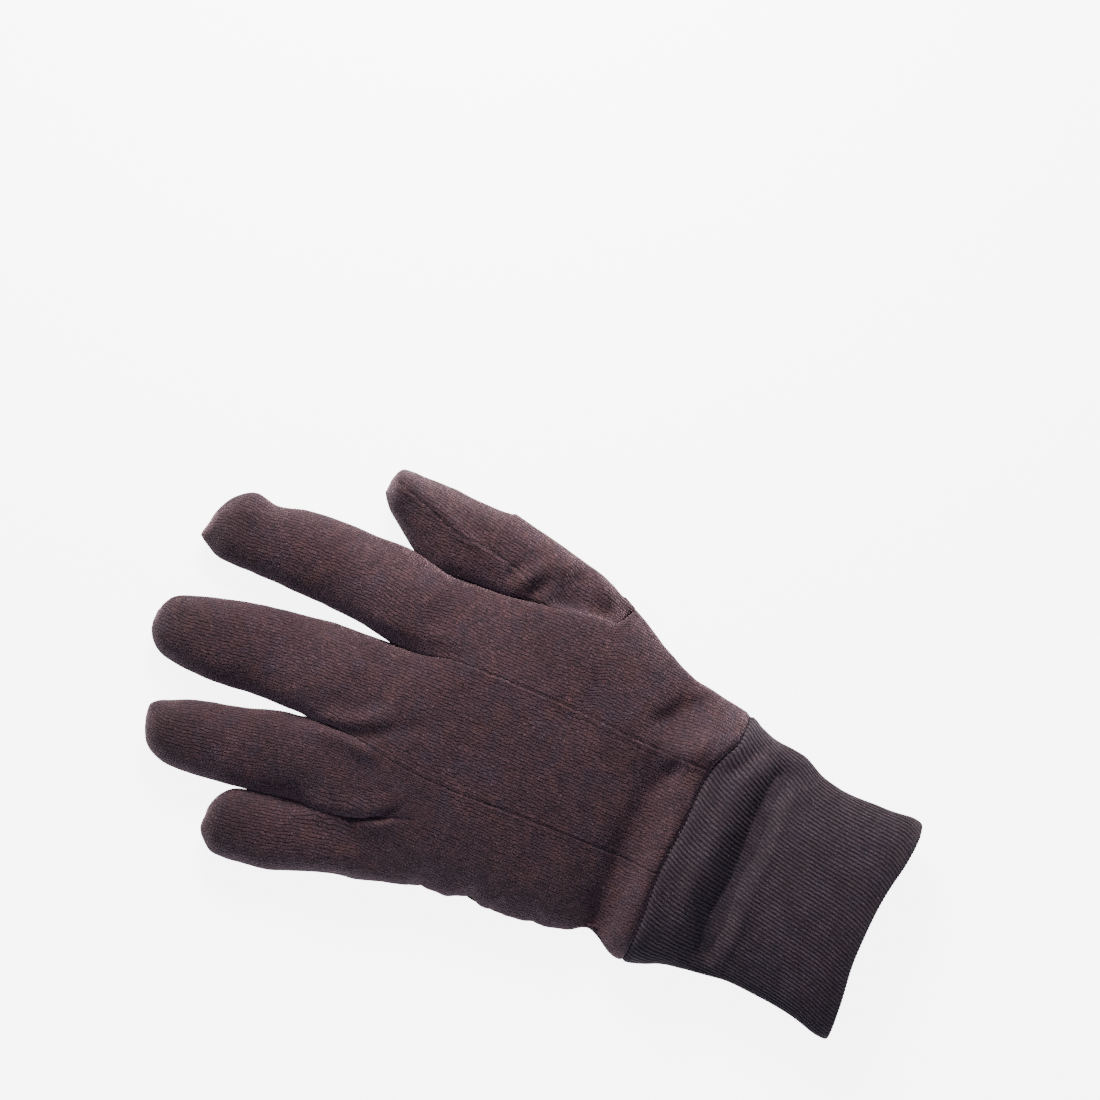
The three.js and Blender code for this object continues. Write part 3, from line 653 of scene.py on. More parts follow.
# A rounder roll of cloth at the thumb's side: its height, middle, direction, and half sizes
ROLL_LIFT = 5.8
ROLL_PLACE = np.array([33.0, 4.5])
ROLL_WAY = np.array([[0.704, -0.709], [0.709, 0.704]])
ROLL_SIZE = (11.0, 5.8)


def wrist_swell(gap, normals, points, reach):
    """How cloth moves beside the wrist seam: into a narrow groove, and upwards on top."""
    puff = WRIST_PUFF * bell(gap, WRIST_PUFF_WIDTH, WRIST_PUFF_PLACE)
    groove = WRIST_GROOVE * (puff - bell(gap, GROOVE_WIDTH))
    lift = WRIST_LIFT * (1 - LITTLE_SIDE_LOSS * ease(-points[:, 0], 5, 25)) * bell(gap, reach)
    along, across = ROLL_WAY @ (points[:, :2] - ROLL_PLACE).T
    lift += ROLL_LIFT * bell(along, ROLL_SIZE[0]) * bell(across, ROLL_SIZE[1])
    lift *= ease(points[:, 2], 10, 8)
    return unit(normals * np.array([1.0, 0.0, 1.0])) * groove[:, None] + lift[:, None] * UP


def join_strips(strips):
    """One mesh from strips that share points: its faces, and its points' values by name."""
    values = {}
    for key in ("points", "knit", "inward", "down", "upright", "held", "seam"):
        values[key] = np.concatenate([np.concatenate(s[key]) for s in strips])
    hundredths = np.round(values["points"] * 100).astype(int)
    _, first, same = np.unique(hundredths, axis=0, return_index=True, return_inverse=True)
    faces, start = [], 0
    for s in strips:
        rows, columns = s["points"].shape[:2]
        index = start + np.arange(rows * columns).reshape(rows, columns)
        quads = np.stack([index[:-1, :-1], index[:-1, 1:], index[1:, 1:], index[1:, :-1]], -1)
        quads = quads.reshape(-1, 4)
        faces.append(quads if s["up"] else quads[:, ::-1])
        start += rows * columns
    faces = same.ravel()[np.concatenate(faces)]
    return faces, {key: value[first] for key, value in values.items()}


# Height, scale and seed of the cloth's unevenness
UNEVEN = ((0.7, 0.06, 3.0), (0.25, 0.19, 10.0))
# Cloth on top moves straight up as far as this from the wrist seam, and less over the next stretch
WRIST_UPRIGHT, WRIST_UPRIGHT_FADE = 22, 10
# The least height of a piece's inner wall
FLOOR_GAP = 0.2


def cloth_piece(name, strips, folds, material, level):
    """A closed piece of jersey: strips joined where they share points, folded, and given a wall.

    level says at which points of its edge the cut edge is level, as at a side seam.
    """
    faces, given = join_strips(strips)
    points = given["points"]
    # Nearness to a fingertip, where the material paints shade
    tip_shade = fingertip_share(points)
    from_wrist = points[:, 1] - seam_sweep(points[:, 0])
    uneven = sum(height * cloth_noise(points, scale, seed) for height, scale, seed in UNEVEN)
    relief = fold_relief(points[:, :2], folds) + uneven * ease(np.abs(from_wrist), 0, 6)
    relief = given["inward"] + relief * (1 - given["held"])
    # Beside another piece the cloth moves straight up and down, so that the two stay together
    normals = vertex_normals(points, faces)
    away = np.where(normals[:, 2:] < 0, -1.0, 1.0) * UP
    turned = unit(mix(normals, away, given["upright"][:, None]))
    near_wrist = 1 - ease(from_wrist[:, None], WRIST_UPRIGHT, WRIST_UPRIGHT_FADE)
    turned = upright_on_top(turned, near_wrist)
    swelling = wrist_swell(from_wrist, normals, points, JERSEY_REACH)
    points = points + turned * relief[:, None] + away * given["down"][:, None] + swelling
    points[:, 2] = np.maximum(points[:, 2], 0)

    # The edges that only one face uses, in the direction in which it uses them
    pairs = np.concatenate([faces[:, [i, (i + 1) % 4]] for i in range(4)])
    used = {(a, b) for a, b in pairs.tolist() if a != b}
    free = np.array([(a, b) for a, b in used if (b, a) not in used])
    normals = vertex_normals(points, faces)
    turn = np.sign(normals[free[:, 0], 2])[:, None] * UP
    along = np.cross(points[free[:, 1]] - points[free[:, 0]], turn)
    outward = np.zeros_like(points)
    for end in (0, 1):
        np.add.at(outward, free[:, end], along)
    outward[:, 2] = 0
    level_rim = outward.any(axis=1) & level(points)
    outward = unit(outward)
    normals[level_rim, 2] = 0
    offset = -JERSEY_WALL * unit(normals)
    # At a seam the wall never leans over its neighbour, and its inside stays above the floor
    offset -= outward * np.maximum(0, (offset * outward).sum(1))[:, None]
    offset[:, 2] = np.maximum(offset[:, 2], FLOOR_GAP - points[:, 2])
    count = len(points)
    walls = np.stack([free[:, 1], free[:, 0], free[:, 0] + count, free[:, 1] + count], -1)
    faces = np.concatenate([faces, faces[:, ::-1] + count, walls])
    points = np.concatenate([points, points + offset])
    # Marks of painted shade: along the seams' grooves and at the fingertips
    shade_marks = {"seam": np.tile(given["seam"], 2), "fingertip": np.tile(tip_shade, 2)}
    return make_object(name, points, faces, np.tile(given["knit"], (2, 1)), material, shade_marks)


def maths(tree, operation, a, b=0.0, c=0.0):
    """The result of a Math node."""
    return add_node(tree, "ShaderNodeMath", {0: a, 1: b, 2: c}, operation=operation).outputs[0]


def blend_colours(tree, share, first, second, blend="MIX"):
    """The result of a colour Mix node."""
    inputs = {0: share, 6: first, 7: second}
    made = add_node(tree, "ShaderNodeMix", inputs, data_type="RGBA", blend_type=blend)
    return made.outputs[2]


def times(tree, colour, factor):
    """A colour times another one: three numbers, or a node's output for all three channels."""
    if isinstance(factor, bpy.types.NodeSocket):
        channels = {channel: factor for channel in range(3)}
        factor = add_node(tree, "ShaderNodeCombineColor", channels).outputs["Color"]
    else:
        factor = (*factor, 1.0)
    return blend_colours(tree, 1.0, colour, factor, "MULTIPLY")


def smooth_steps(tree, value, low, high):
    """A smooth step of a value between two limits."""
    return map_range(tree, value, (low, high), kind="SMOOTHSTEP")


def noise_value(tree, place, scale, detail, roughness=0.5, seed=None):
    """Noise from 0 to 1 at a place. Each seed gives it another pattern."""
    inputs = {"Vector": place, "Scale": scale, "Detail": detail, "Roughness": roughness}
    if seed is not None:
        inputs["W"] = seed
    kind = "3D" if seed is None else "4D"
    return add_node(tree, "ShaderNodeTexNoise", inputs, noise_dimensions=kind).outputs["Fac"]


def sway(tree, place, scale, amount, detail=2.0, seed=None):
    """Noise that goes as far below 0 as above it, times an amount."""
    centred = maths(tree, "SUBTRACT", noise_value(tree, place, scale, detail, seed=seed), 0.5)
    return maths(tree, "MULTIPLY", centred, amount)


def new_group(name, inputs, outputs, kind="ShaderNodeTree"):
    """A node group with named sockets, and the nodes for its inputs and outputs."""
    group = bpy.data.node_groups.new(name, kind)
    for side, sockets in (("INPUT", inputs), ("OUTPUT", outputs)):
        for label, value in sockets.items():
            group.interface.new_socket(label, in_out=side, socket_type="NodeSocket" + value)
    return group, add_node(group, "NodeGroupInput").outputs, add_node(group, "NodeGroupOutput")


# Knitted loops: wales run lengthwise, each a column of loops that lean to both sides
loops_group, given, result = new_group(
    "knitted_loops",
    {"Place": "Vector", "Wale Pitch": "Float", "Course Pitch": "Float", "Waver": "Float",
     "Pull": "Float"},
    {"Height": "Float"},
)
number = partial(maths, loops_group)
place = add_node(loops_group, "ShaderNodeSeparateXYZ", {"Vector": given["Place"]}).outputs
waver = sway(loops_group, given["Place"], 0.16, given["Waver"])
pull = sway(loops_group, given["Place"], 0.6, given["Pull"])
shift = number("ADD", waver, pull)
across = number("DIVIDE", number("ADD", place["X"], shift), given["Wale Pitch"])
side = number("ABSOLUTE", number("SUBTRACT", number("FRACT", across), 0.5))
wale = number("FLOOR", across)
wale_number = add_node(loops_group, "ShaderNodeTexWhiteNoise", {"W": wale}, noise_dimensions="1D")
course = number("DIVIDE", number("ADD", place["Y"], shift), given["Course Pitch"])
course = number("ADD", course, number("MULTIPLY", wale_number.outputs["Value"], 0.35))
leg = number("SUBTRACT", course, number("MULTIPLY", side, 1.5))
stitch = add_node(loops_group, "ShaderNodeCombineXYZ", {"X": wale, "Y": number("FLOOR", leg)})
stitch = {"Vector": stitch.outputs["Vector"]}
stitch = add_node(loops_group, "ShaderNodeTexWhiteNoise", stitch, noise_dimensions="2D")
leg = number("COSINE", number("MULTIPLY", leg, 2 * math.pi))
leg = number("MULTIPLY_ADD", leg, 0.5, 0.5)
furrow = smooth_steps(loops_group, side, 0.5, 0.22)
middle_dip = number("MULTIPLY_ADD", smooth_steps(loops_group, side, 0.0, 0.12), 0.25, 0.75)
loop_height = number("MULTIPLY", number("MULTIPLY_ADD", leg, 0.5, 0.5), middle_dip)
loop_height = number("MULTIPLY", loop_height, furrow)
stitch_height = number("MULTIPLY_ADD", stitch.outputs["Value"], 0.5, 0.6)
loop_height = number("MULTIPLY", loop_height, stitch_height)
loops_group.links.new(loop_height, result.inputs["Height"])

# Heather: flecks of fibres of other shades that lie across the wales, over soft larger patches
SHADES = ("Ground", "Light Fleck", "Dark Fleck", "Warm Fleck", "Cool Fleck", "Lint")
heather_group, given, result = new_group(
    "heather",
    {"Place": "Vector", **{name: "Color" for name in SHADES}, "Amount": "Float"},
    {"Color": "Color", "Fuzz": "Float"},
)
stretched = {"Vector": given["Place"], "Scale": (0.8, 1.3, 1.0)}
stretched = add_node(heather_group, "ShaderNodeMapping", stretched).outputs["Vector"]
shade = given["Ground"]
# Each fleck's scale, the limits of noise between which it sets in, and its seed
FLECKS = (
    ("Warm Fleck", 0.16, 0.46, 0.7, 23.0), ("Cool Fleck", 0.15, 0.48, 0.68, 31.0),
    ("Dark Fleck", 0.9, 0.48, 0.72, 3.0), ("Light Fleck", 1.5, 0.52, 0.74, 11.0),
    ("Lint", 1.0, 0.69, 0.72, 47.0),
)
for name, scale, low, high, seed in FLECKS:
    fleck = noise_value(heather_group, stretched, scale, 3.0, 0.65, seed)
    share = smooth_steps(heather_group, fleck, low, high)
    share = maths(heather_group, "MULTIPLY", share, given["Amount"])
    shade = blend_colours(heather_group, share, shade, given[name])
patch = noise_value(heather_group, given["Place"], 0.055, 3.0)
shade = times(heather_group, shade, map_range(heather_group, patch, (0.3, 0.7), (0.86, 1.14)))
fuzz = noise_value(heather_group, given["Place"], 3.2, 4.0, 0.7)
heather_group.links.new(shade, result.inputs["Color"])
heather_group.links.new(fuzz, result.inputs["Fuzz"])


def knit_nodes(tree, loops, shades, amount, stretch=(1.0, 1.0, 1.0)):
    """A cloth's knit coordinates, its loops and its heather, as nodes' outputs."""
    place = add_node(tree, "ShaderNodeAttribute", attribute_name="knit").outputs["Vector"]
    loops = add_node(tree, "ShaderNodeGroup", {"Place": place, **loops}, node_tree=loops_group)
    spaced = add_node(tree, "ShaderNodeMapping", {"Vector": place, "Scale": stretch})
    inputs = {name: (*shade, 1.0) for name, shade in zip(SHADES, shades)}
    inputs.update({"Place": spaced.outputs["Vector"], "Amount": amount})
    heather = add_node(tree, "ShaderNodeGroup", inputs, node_tree=heather_group)
    return place, loops.outputs, heather.outputs


def finish_cloth(tree, colour, loops, heather, fuzz, bump, sheen):
    """Cloth's surface: bumps of loops and fuzz, given by strength and distance, and a sheen."""
    height = maths(tree, "MULTIPLY_ADD", heather["Fuzz"], fuzz, loops["Height"])
    bump = {"Height": height, "Strength": bump[0], "Distance": bump[1]}
    weight, roughness, tint = sheen
    shader = add_node(tree, "ShaderNodeBsdfPrincipled", {
        "Base Color": colour, "Roughness": 0.95, "Specular IOR Level": 0.25,
        "Normal": add_node(tree, "ShaderNodeBump", bump).outputs["Normal"],
        "Sheen Weight": weight, "Sheen Roughness": roughness, "Sheen Tint": (*tint, 1.0),
    })
    finish_material(tree, shader)


LINT = (0.3, 0.25, 0.27)
# Ground and flecks of the jersey, in the order of SHADES
BROWNS = (
    (0.034, 0.0174, 0.0232), (0.082, 0.05, 0.062), (0.012, 0.008, 0.013), (0.05, 0.024, 0.026),
    (0.029, 0.018, 0.027), LINT,
)
JERSEY_LOOPS = {"Wale Pitch": 1.13, "Course Pitch": 0.95, "Waver": 1.6, "Pull": 1.3}
# Painted shade, darker along the seams' grooves and greyer at the fingertips: share and tint
PAINTED_JERSEY_SHADE = (("seam", 0.62, (0.32, 0.3, 0.34)), ("fingertip", 0.62, (0.62, 0.66, 0.66)))


def jersey_material(name):
    """Heathered cotton jersey with fine lengthwise wales, a light fuzz and painted shade."""
    material, tree = new_material(name)
    place, loops, heather = knit_nodes(tree, JERSEY_LOOPS, BROWNS, 0.85)
    # Painted shade in the furrows between the wales and painted highlight on the loops' tops
    furrow = map_range(tree, loops["Height"], (0.0, 1.0), (0.16, 2.1))
    # The furrows show in some places and close up in others
    closed = smooth_steps(tree, noise_value(tree, place, 0.5, 3.0), 0.45, 0.7)
    closed = maths(tree, "MULTIPLY", closed, 0.75)
    evened = maths(tree, "MULTIPLY", maths(tree, "SUBTRACT", 1.0, furrow), closed)
    colour = times(tree, heather["Color"], maths(tree, "ADD", furrow, evened))
    # Painted shade along the seams' grooves and towards the fingertips
    for mark, share, tint in PAINTED_JERSEY_SHADE:
        marked = add_node(tree, "ShaderNodeAttribute", attribute_name=mark).outputs["Fac"]
        marked = maths(tree, "MULTIPLY", marked, share)
        colour = blend_colours(tree, marked, colour, times(tree, colour, tint))
    sheen = (0.34, 0.35, (0.85, 0.55, 0.64))
    finish_cloth(tree, colour, loops, heather, 0.35, (0.8, 0.00045), sheen)
    return material


def finish_piece(made, node):
    """Hands a finished piece over in place of its solid."""
    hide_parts(node)
    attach(made, "root")


# Between these heights the palm's and the thumb's cut edges are level
UNDER_SIDE = min(FINGER_THICKNESS * FINGER_SEAM, HAND_THICKNESS * CROTCH["side"][1]) * 0.75
OVER_SIDE = HAND_THICKNESS * CROTCH["index"][1] + 0.5


def palm_level(points):
    """Where the cut edge of a lower piece is level."""
    return (points[:, 2] > UNDER_SIDE) & (points[:, 2] < OVER_SIDE)


palm_jersey = jersey_material("palm_jersey")
palm_strips = [palm_strip(name) for name in ("little", "ring", "middle", "index")]
palm = cloth_piece("palm_cloth", palm_strips, UNDER_FOLDS, palm_jersey, palm_level)
finish_piece(palm, "palm")


# Backs
# Three pieces of the same jersey: one for ring and little finger, one each for middle and index
# finger. Two seams part them, turned in: one a groove with a soft lip, the other a faint line.
SIDE_START = 0.38
THUMB_START = 0.41
SEWN_LAP = 0.12
BACK_FOLDS = [
    # crease that runs on from the crotch of ring and little finger
    (-0.9, 1.3, [(-33.5, 103), (-32, 97), (-29.5, 92), (-26.5, 89), (-22, 86.5), (-17, 85.5)]),
    (3.6, 2.6, [(-35, 120), (-32.5, 112), (-30.5, 104), (-29, 98), (-26.5, 93.5), (-22, 91)]),
    (3.6, 2.6, [(-40, 118), (-37.5, 110), (-36, 103), (-35, 97), (-32.5, 91), (-28, 86)]),
    # branch from the crotch of middle and ring finger
    (-1.1, 1.8, [(-8.5, 112), (-7.5, 106.5), (-4, 102), (-0.5, 97), (2, 92.5), (3.5, 88)]),
    (2.0, 2.9, [(-6.5, 130), (-6, 122), (-5, 114), (-2, 108), (2, 103), (5, 98)]),
    (2.2, 2.6, [(-12.5, 130), (-12, 120), (-11.5, 112), (-11.5, 104), (-12.5, 98)]),
    # beside the crotch of index and middle finger
    (0.9, 2.6, [(20, 126), (21, 117), (21.5, 108), (22, 100)]),
    (1.1, 3.2, [(29, 126), (29.5, 116), (30.5, 107), (32, 98), (34, 88)]),
    # gathers at the wrist
    (-3.9, 4.6, [
        (-40, 12.5), (-28, 12.3), (-16, 12), (-4, 11.7), (8, 11), (17, 10), (25, 9), (30, 8),
    ]),
    (-2.4, 3.2, [(10, 12.5), (17, 11.5), (23, 10), (27, 9)]),
    (-2.6, 3.4, [(-38, 7.5), (-24, 7.5), (-8, 7.5), (8, 7), (18, 5.5)]),
    (-3.0, 3.4, [(30, 24), (36, 19.5), (42, 14.5), (47, 9.5), (50, 6)]),
    (-0.7, 2.2, [(-6, 24), (-2, 29), (0, 35)]),
    (-0.5, 2.6, [(12, 25), (16, 31), (17, 38)]),
    # puckers along the outer side of the hand
    (-1.1, 2.3, [(-50, 73), (-44, 71), (-38, 70)]),
    (1.2, 3.0, [(-52, 62), (-46, 62), (-40, 62)]),
    (-1.1, 2.0, [(-49, 54), (-43, 54), (-38, 54)]),
    (-0.8, 2.0, [(-48, 45), (-42, 44.5), (-37, 45)]),
    (0.5, 2.4, [(-48, 49.5), (-43, 49.5), (-38, 50)]),
    (-0.7, 2.4, [(-47, 31), (-41, 32), (-35, 34)]),
]
back_jersey = jersey_material("back_jersey")


def back_height(row, share, edge):
    """Height of the back of the hand. edge is the height of its right edge."""
    base = mix(HAND_THICKNESS * HAND_SEAM, edge, share)
    return base + (HAND_THICKNESS * read(HEIGHTS, "crown", row) - base) * swell(share * 2 - 1)


def back_strip(name, edges):
    """One finger's strip of the back of the hand."""
    shape = FINGERS[name]
    across = crowded(STRIP_COLUMNS[name])
    row = HAND_ROWS
    turn = np.clip((row - SIDE_START) / (THUMB_START - SIDE_START), 0, 1)
    side = hand_line("side", np.minimum(row, SIDE_START))
    back_edge = mix(side, hand_line("thumb", np.maximum(row, THUMB_START)), turn[..., None])
    back_edge[..., 1] = hand_line("thumb", row)[..., 1]
    first, second = shape["between"]
    right = back_edge if second == "thumb" else hand_line(second, row)
    plan = spread(row, hand_line(first, row), right, (across + 1) / 2)
    left_x = hand_line("outer", row)[..., 0]
    share = (plan[..., 0] - left_x) / (back_edge[..., 0] - left_x)
    edge = mix(HAND_SEAM, read(HEIGHTS, "thumb", np.maximum(row, THUMB_START)), turn)
    height = back_height(row, share, HAND_THICKNESS * edge)
    hand = hand_points(shape, row, across, plan, height, True)
    tip = finger_points(shape, FINGER_ROWS, across, True)
    if name == "middle":
        hand[1:, 0, 0] -= SEWN_LAP
        hand[1:, -1, 0] += SEWN_LAP
    # The edges that meet the palm lie a gap above its own
    if first == "outer":
        hand[:, 0, 2] += SEAM_GAP
    if second == "thumb":
        hand[:, -1, 2] += SEAM_GAP
    tip[1:, [0, -1], 2] += SEAM_GAP
    tip[-1, 1:-1, 2] += SEAM_GAP
    return strip(shape, hand, tip, True, edges)


def back_level(points):
    """Where the cut edge of an upper piece is level."""
    on_finger = points[:, 1] > HAND_LENGTH * CROTCH["outer"][0]
    return points[:, 2] < np.where(on_finger, OVER_SIDE, HAND_THICKNESS * HAND_SEAM + 0.6)


THUMB_SIDE_EDGE = ("side", "lap", "side", SIDE_START)
BACKS = {
    "back_ring_little": [("little", (SIDE_EDGE, SHARED_EDGE)), ("ring", (SHARED_EDGE, FAINT_EDGE))],
    "back_middle": [("middle", (FAINT_EDGE, LIP_EDGE))],
    "back_index": [("index", (SEWN_EDGE, THUMB_SIDE_EDGE))],
}
for node, parts in BACKS.items():
    strips = [back_strip(name, edges) for name, edges in parts]
    back = cloth_piece(node + "_cloth", strips, BACK_FOLDS, back_jersey, back_level)
    finish_piece(back, node)


# Thumb
# Two pieces of jersey. The front one covers the ball of the thumb and its underside and turns over
# the top; the back one is sewn to it along a ridge up the thumb, and to the hand in a fold.
WEDGE_START = 0.66
THUMB_SEAM = table("along across", [(0.66, 0), (0.74, 0.22), (0.84, 0.38), (1, 0.5)])
THUMB_SEAM_TIP = 0.62
THUMB_FOLDS = [
    (-1.4, 2.2, [(54, 77), (58, 74.5), (63, 71), (68, 68)]),
    (2.0, 2.6, [(55, 81.5), (60, 79.5), (65, 76.5), (69, 74)]),
    (-1.2, 1.8, [(58, 86), (62, 83.5), (66, 81)]),
    (0.8, 2.4, [(59, 66), (63, 64), (67, 61.5)]),
    # ridge that carries the seam up the thumb
    (0.9, 1.9, [(58, 82), (62, 92), (66.5, 104), (70, 112), (72.5, 120), (74.5, 128)]),
]
thumb = FINGERS["thumb"]
thumb_jersey = jersey_material("thumb_jersey")


def thumb_top(row, across):
    """The top of the thumb where it lies beside the hand."""
    share = (across + 1) / 2
    side = hand_line("side", np.where(row <= THUMB_START, SIDE_START, row))
    plan = spread(row, hand_line("thumb", row), side, share)
    base = mix(HAND_THICKNESS * read(HEIGHTS, "thumb", row), HAND_THICKNESS * HAND_SEAM, share)
    pad = HAND_THICKNESS * read(HEIGHTS, "pad", row)
    height = base + (pad - base) * swell(across) * ease(row, THUMB_START, 0.06)
    return hand_points(thumb, row, across, plan, height, True)


def thumb_strip(rows, columns, outer, edges):
    """A strip of the thumb's top, on one side of the seam up the thumb, with wales along it."""
    share = (crowded(columns) + 1) / 2
    seams = (
        2 * read(THUMB_SEAM, "across", rows) - 1,
        2 * mix(THUMB_SEAM["across"][-1], THUMB_SEAM_TIP, FINGER_ROWS) - 1,
    )
    across = [mix(seam, 1, share) if outer else mix(-1, seam, share) for seam in seams]
    hand = thumb_top(rows, across[0])
    tip = finger_points(thumb, FINGER_ROWS, across[1], True)
    if outer:
        for part in (hand, tip):
            part[:, 0, 0] -= SEWN_LAP
            part[:, -1, 2] += SEAM_GAP
        tip[-1, :-1, 2] += SEAM_GAP
    else:
        hand[..., 0] += SEAM_GAP / 2
    points = np.concatenate([hand, tip])
    from_left, from_right = cloth_lengths(points)
    root = tip[0].mean(0)[:2]
    east, north = thumb["axis"]
    u = from_left + (points[:, :1, :2] - root) @ np.array([north, -east])
    v = (points[..., :2] - root) @ thumb["axis"]
    relief = edge_relief(from_left, from_right, rows, edges)
    # The strip's own start laps down a little onto the hand
    steps = np.linalg.norm(np.diff(points.mean(1), axis=0), axis=1)
    start = np.concatenate([[0], np.cumsum(steps)])[:, None]
    relief["down"] -= 0.2 * LAP_DEPTH * bell(start, LAP_WIDTH) * (1 - bell(from_right, 4.0))
    relief["upright"] = np.maximum(relief["upright"], bell(start, UPRIGHT_REACH))
    return {"points": points, "knit": np.stack([u, v, np.zeros_like(u)], -1), "up": True, **relief}


back_rows = np.linspace(THUMB_START, 1, 60)[:-1, None]
back_edges = (("sewn", "sewn", "sewn", 0.5), SIDE_EDGE)
thumb_outside = thumb_strip(back_rows, 21, True, back_edges)
thumb_back = cloth_piece("thumb_back_cloth", [thumb_outside], THUMB_FOLDS, thumb_jersey, back_level)
finish_piece(thumb_back, "thumb_back")

across = crowded(STRIP_COLUMNS["thumb"])
ends = (hand_line("palm", HAND_ROWS), hand_line("side", HAND_ROWS))
plan = spread(HAND_ROWS, ends[0], ends[1], (across + 1) / 2)
hand = under_points(thumb, HAND_ROWS, across, plan)
hand[:, 0, 0] += SEAM_GAP
tip = finger_points(thumb, FINGER_ROWS, across, False)
THUMB_FOLD_EDGE = ("side", "shared", "shared", 0.8)
thumb_under = strip(thumb, hand, tip, False, (THUMB_FOLD_EDGE, SIDE_EDGE))

wedge_rows = np.linspace(WEDGE_START, 1, 36)[:-1, None]
wedge_edges = (("lap", "lap", "shared", 0.5), ("lip", "ridge", "ridge", 0.8))
thumb_front = cloth_piece(
    "thumb_front_cloth", [thumb_under, thumb_strip(wedge_rows, 15, False, wedge_edges)],
    THUMB_FOLDS, thumb_jersey, palm_level,
)
finish_piece(thumb_front, "thumb_front")


# Knitted wrist
# A double tube of charcoal rib knit, folded at its free edge and sewn to the hand along the other.
# Its ribs run lengthwise, leaning a little round the tube towards the little finger.
SEWN_GAP = 0.01
WRIST_LENGTH = 71.0
WRIST_WIDTH = 75.0
WRIST_THICKNESS = 27.0
KNIT_WALL = 3.0
WRIST_SHIFT = 0.033
RIB_COUNT = 132
COLUMNS_PER_RIB = 6
WRIST = table("along left right crown under", [
    (0.08, -0.573, 0.6, 0.9, -0.02),
    (0.17, -0.535, 0.575, 1, -0.08),
    (0.27, -0.515, 0.567, 0.9, -0.02),
    (0.34, -0.505, 0.556, 0.86, 0),
    (0.46, -0.489, 0.505, 0.92, -0.05),
    (0.62, -0.494, 0.485, 0.96, -0.08),
    (0.8, -0.515, 0.49, 0.97, -0.08),
    (0.93, -0.55, 0.503, 0.96, -0.06),
    (0.99, -0.553, 0.495, 0.92, 0),
])
# How far the ribs lean round the tube towards the little finger, in millimetres
TWIST = table("along shift", [
    (0, 0), (0.12, 3.2), (0.25, 6.2), (0.35, 7.2), (0.6, 8.6), (0.85, 10.6), (1, 13.0),
])
WRIST_FOLDS = [
    (-3.2, 4.4, [
        (-35, -23), (-26, -23), (-10, -23.5), (8, -23.5), (24, -23), (36, -24), (42, -24),
    ]),
    (1.0, 5.0, [(-34, -12), (-20, -11), (0, -11), (20, -12), (34, -14), (40, -15)]),
    (1.2, 2.6, [(-32, -29.5), (-16, -29.5), (6, -29.5), (24, -29.5), (38, -30.5)]),
    (-1.0, 2.0, [(26, -5), (33, -11), (40, -14), (46, -17)]),
]


def wrist_shape(along):
    """Left, right, crown, underside and side height of the wrist's section at a level."""
    seam_row = np.zeros(1)
    middle = WRIST_WIDTH * WRIST_SHIFT
    sizes = {
        "left": (hand_line("outer", seam_row)[0, 0], middle, WRIST_WIDTH),
        "right": (hand_line("side", seam_row)[0, 0], middle, WRIST_WIDTH),
        "crown": (HAND_THICKNESS * HEIGHTS["crown"][0], 0, WRIST_THICKNESS),
        "under": (HAND_THICKNESS * HEIGHTS["under"][0], 0, WRIST_THICKNESS),
    }
    levels = {"along": np.append(0, WRIST["along"])}
    shape = {"side": mix(HAND_THICKNESS * HAND_SEAM, WRIST_THICKNESS / 2, min(1, along * 2))}
    for name, (at_seam, origin, size) in sizes.items():
        levels[name] = np.append(at_seam, origin + size * WRIST[name])
        shape[name] = read(levels, name, along)
    return shape


LOOP_STEPS = 1440


def wrist_loop(along, inset, count):
    """One loop round the wrist from below, its points evenly spaced over the cloth."""
    shape = wrist_shape(along)
    angle = np.linspace(-math.pi / 2, 1.5 * math.pi, LOOP_STEPS + 1)[:-1]
    sine, cosine = np.sin(angle), np.cos(angle)
    half = (shape["right"] - shape["left"]) / 2 - inset
    centre = (shape["right"] + shape["left"]) / 2
    x = centre + half * np.sign(cosine) * np.abs(cosine) ** (2 / ROUNDNESS)
    far = np.where(sine >= 0, shape["crown"] - inset, shape["under"] + inset)
    z = np.maximum(inset, shape["side"] + (far - shape["side"]) * np.abs(sine))
    loop = np.stack([x, z], -1)
    steps = np.linalg.norm(np.roll(loop, -1, 0) - loop, axis=1)
    run = np.concatenate([[0], np.cumsum(steps)])
    wanted = (np.arange(count) / count * run[-1] + read(TWIST, "shift", along)) % run[-1]
    x, z = (np.interp(wanted, run, np.append(values, values[0])) for values in (x, z))
    start = seam_sweep(x) - SEWN_GAP
    end = -WRIST_LENGTH * (1 + read(SWEEP, "edge", x / HAND_WIDTH, "across"))
    return np.stack([x, mix(start, end, along), z], -1)


# Levels along the tube with their inset: down the outside, round the fold, and back up the inside
column_count = RIB_COUNT * COLUMNS_PER_RIB
FOLD_LEVEL = 0.975
FOLD_LOOPS = 7
outer_levels = np.linspace(0, FOLD_LEVEL, 74)
levels = [(level, 0.0) for level in outer_levels]
for turn in np.linspace(0, math.pi, FOLD_LOOPS + 2)[1:-1]:
    inset = KNIT_WALL / 2 * (1 - math.cos(turn))
    levels.append((FOLD_LEVEL + (1 - FOLD_LEVEL) * math.sin(turn), inset))
levels += [(level, KNIT_WALL) for level in np.linspace(FOLD_LEVEL, 0, 14)]
loops = np.stack([wrist_loop(along, inset, column_count) for along, inset in levels])

# Knit coordinates: rib, millimetres along it, and how deep its furrows are
furrow_depth = np.full(len(levels), 0.5)
furrow_depth[:len(outer_levels) + FOLD_LOOPS] = 0.35
furrow_depth[:len(outer_levels)] = 1 - 0.6 * ease(outer_levels, 0.94, 0.035)
rib_number = np.arange(column_count) / COLUMNS_PER_RIB
run_along = np.array([along for along, _ in levels])[:, None] * WRIST_LENGTH
knit = np.stack(np.broadcast_arrays(rib_number, run_along, furrow_depth[:, None]), -1)
knit = knit.reshape(-1, 3)

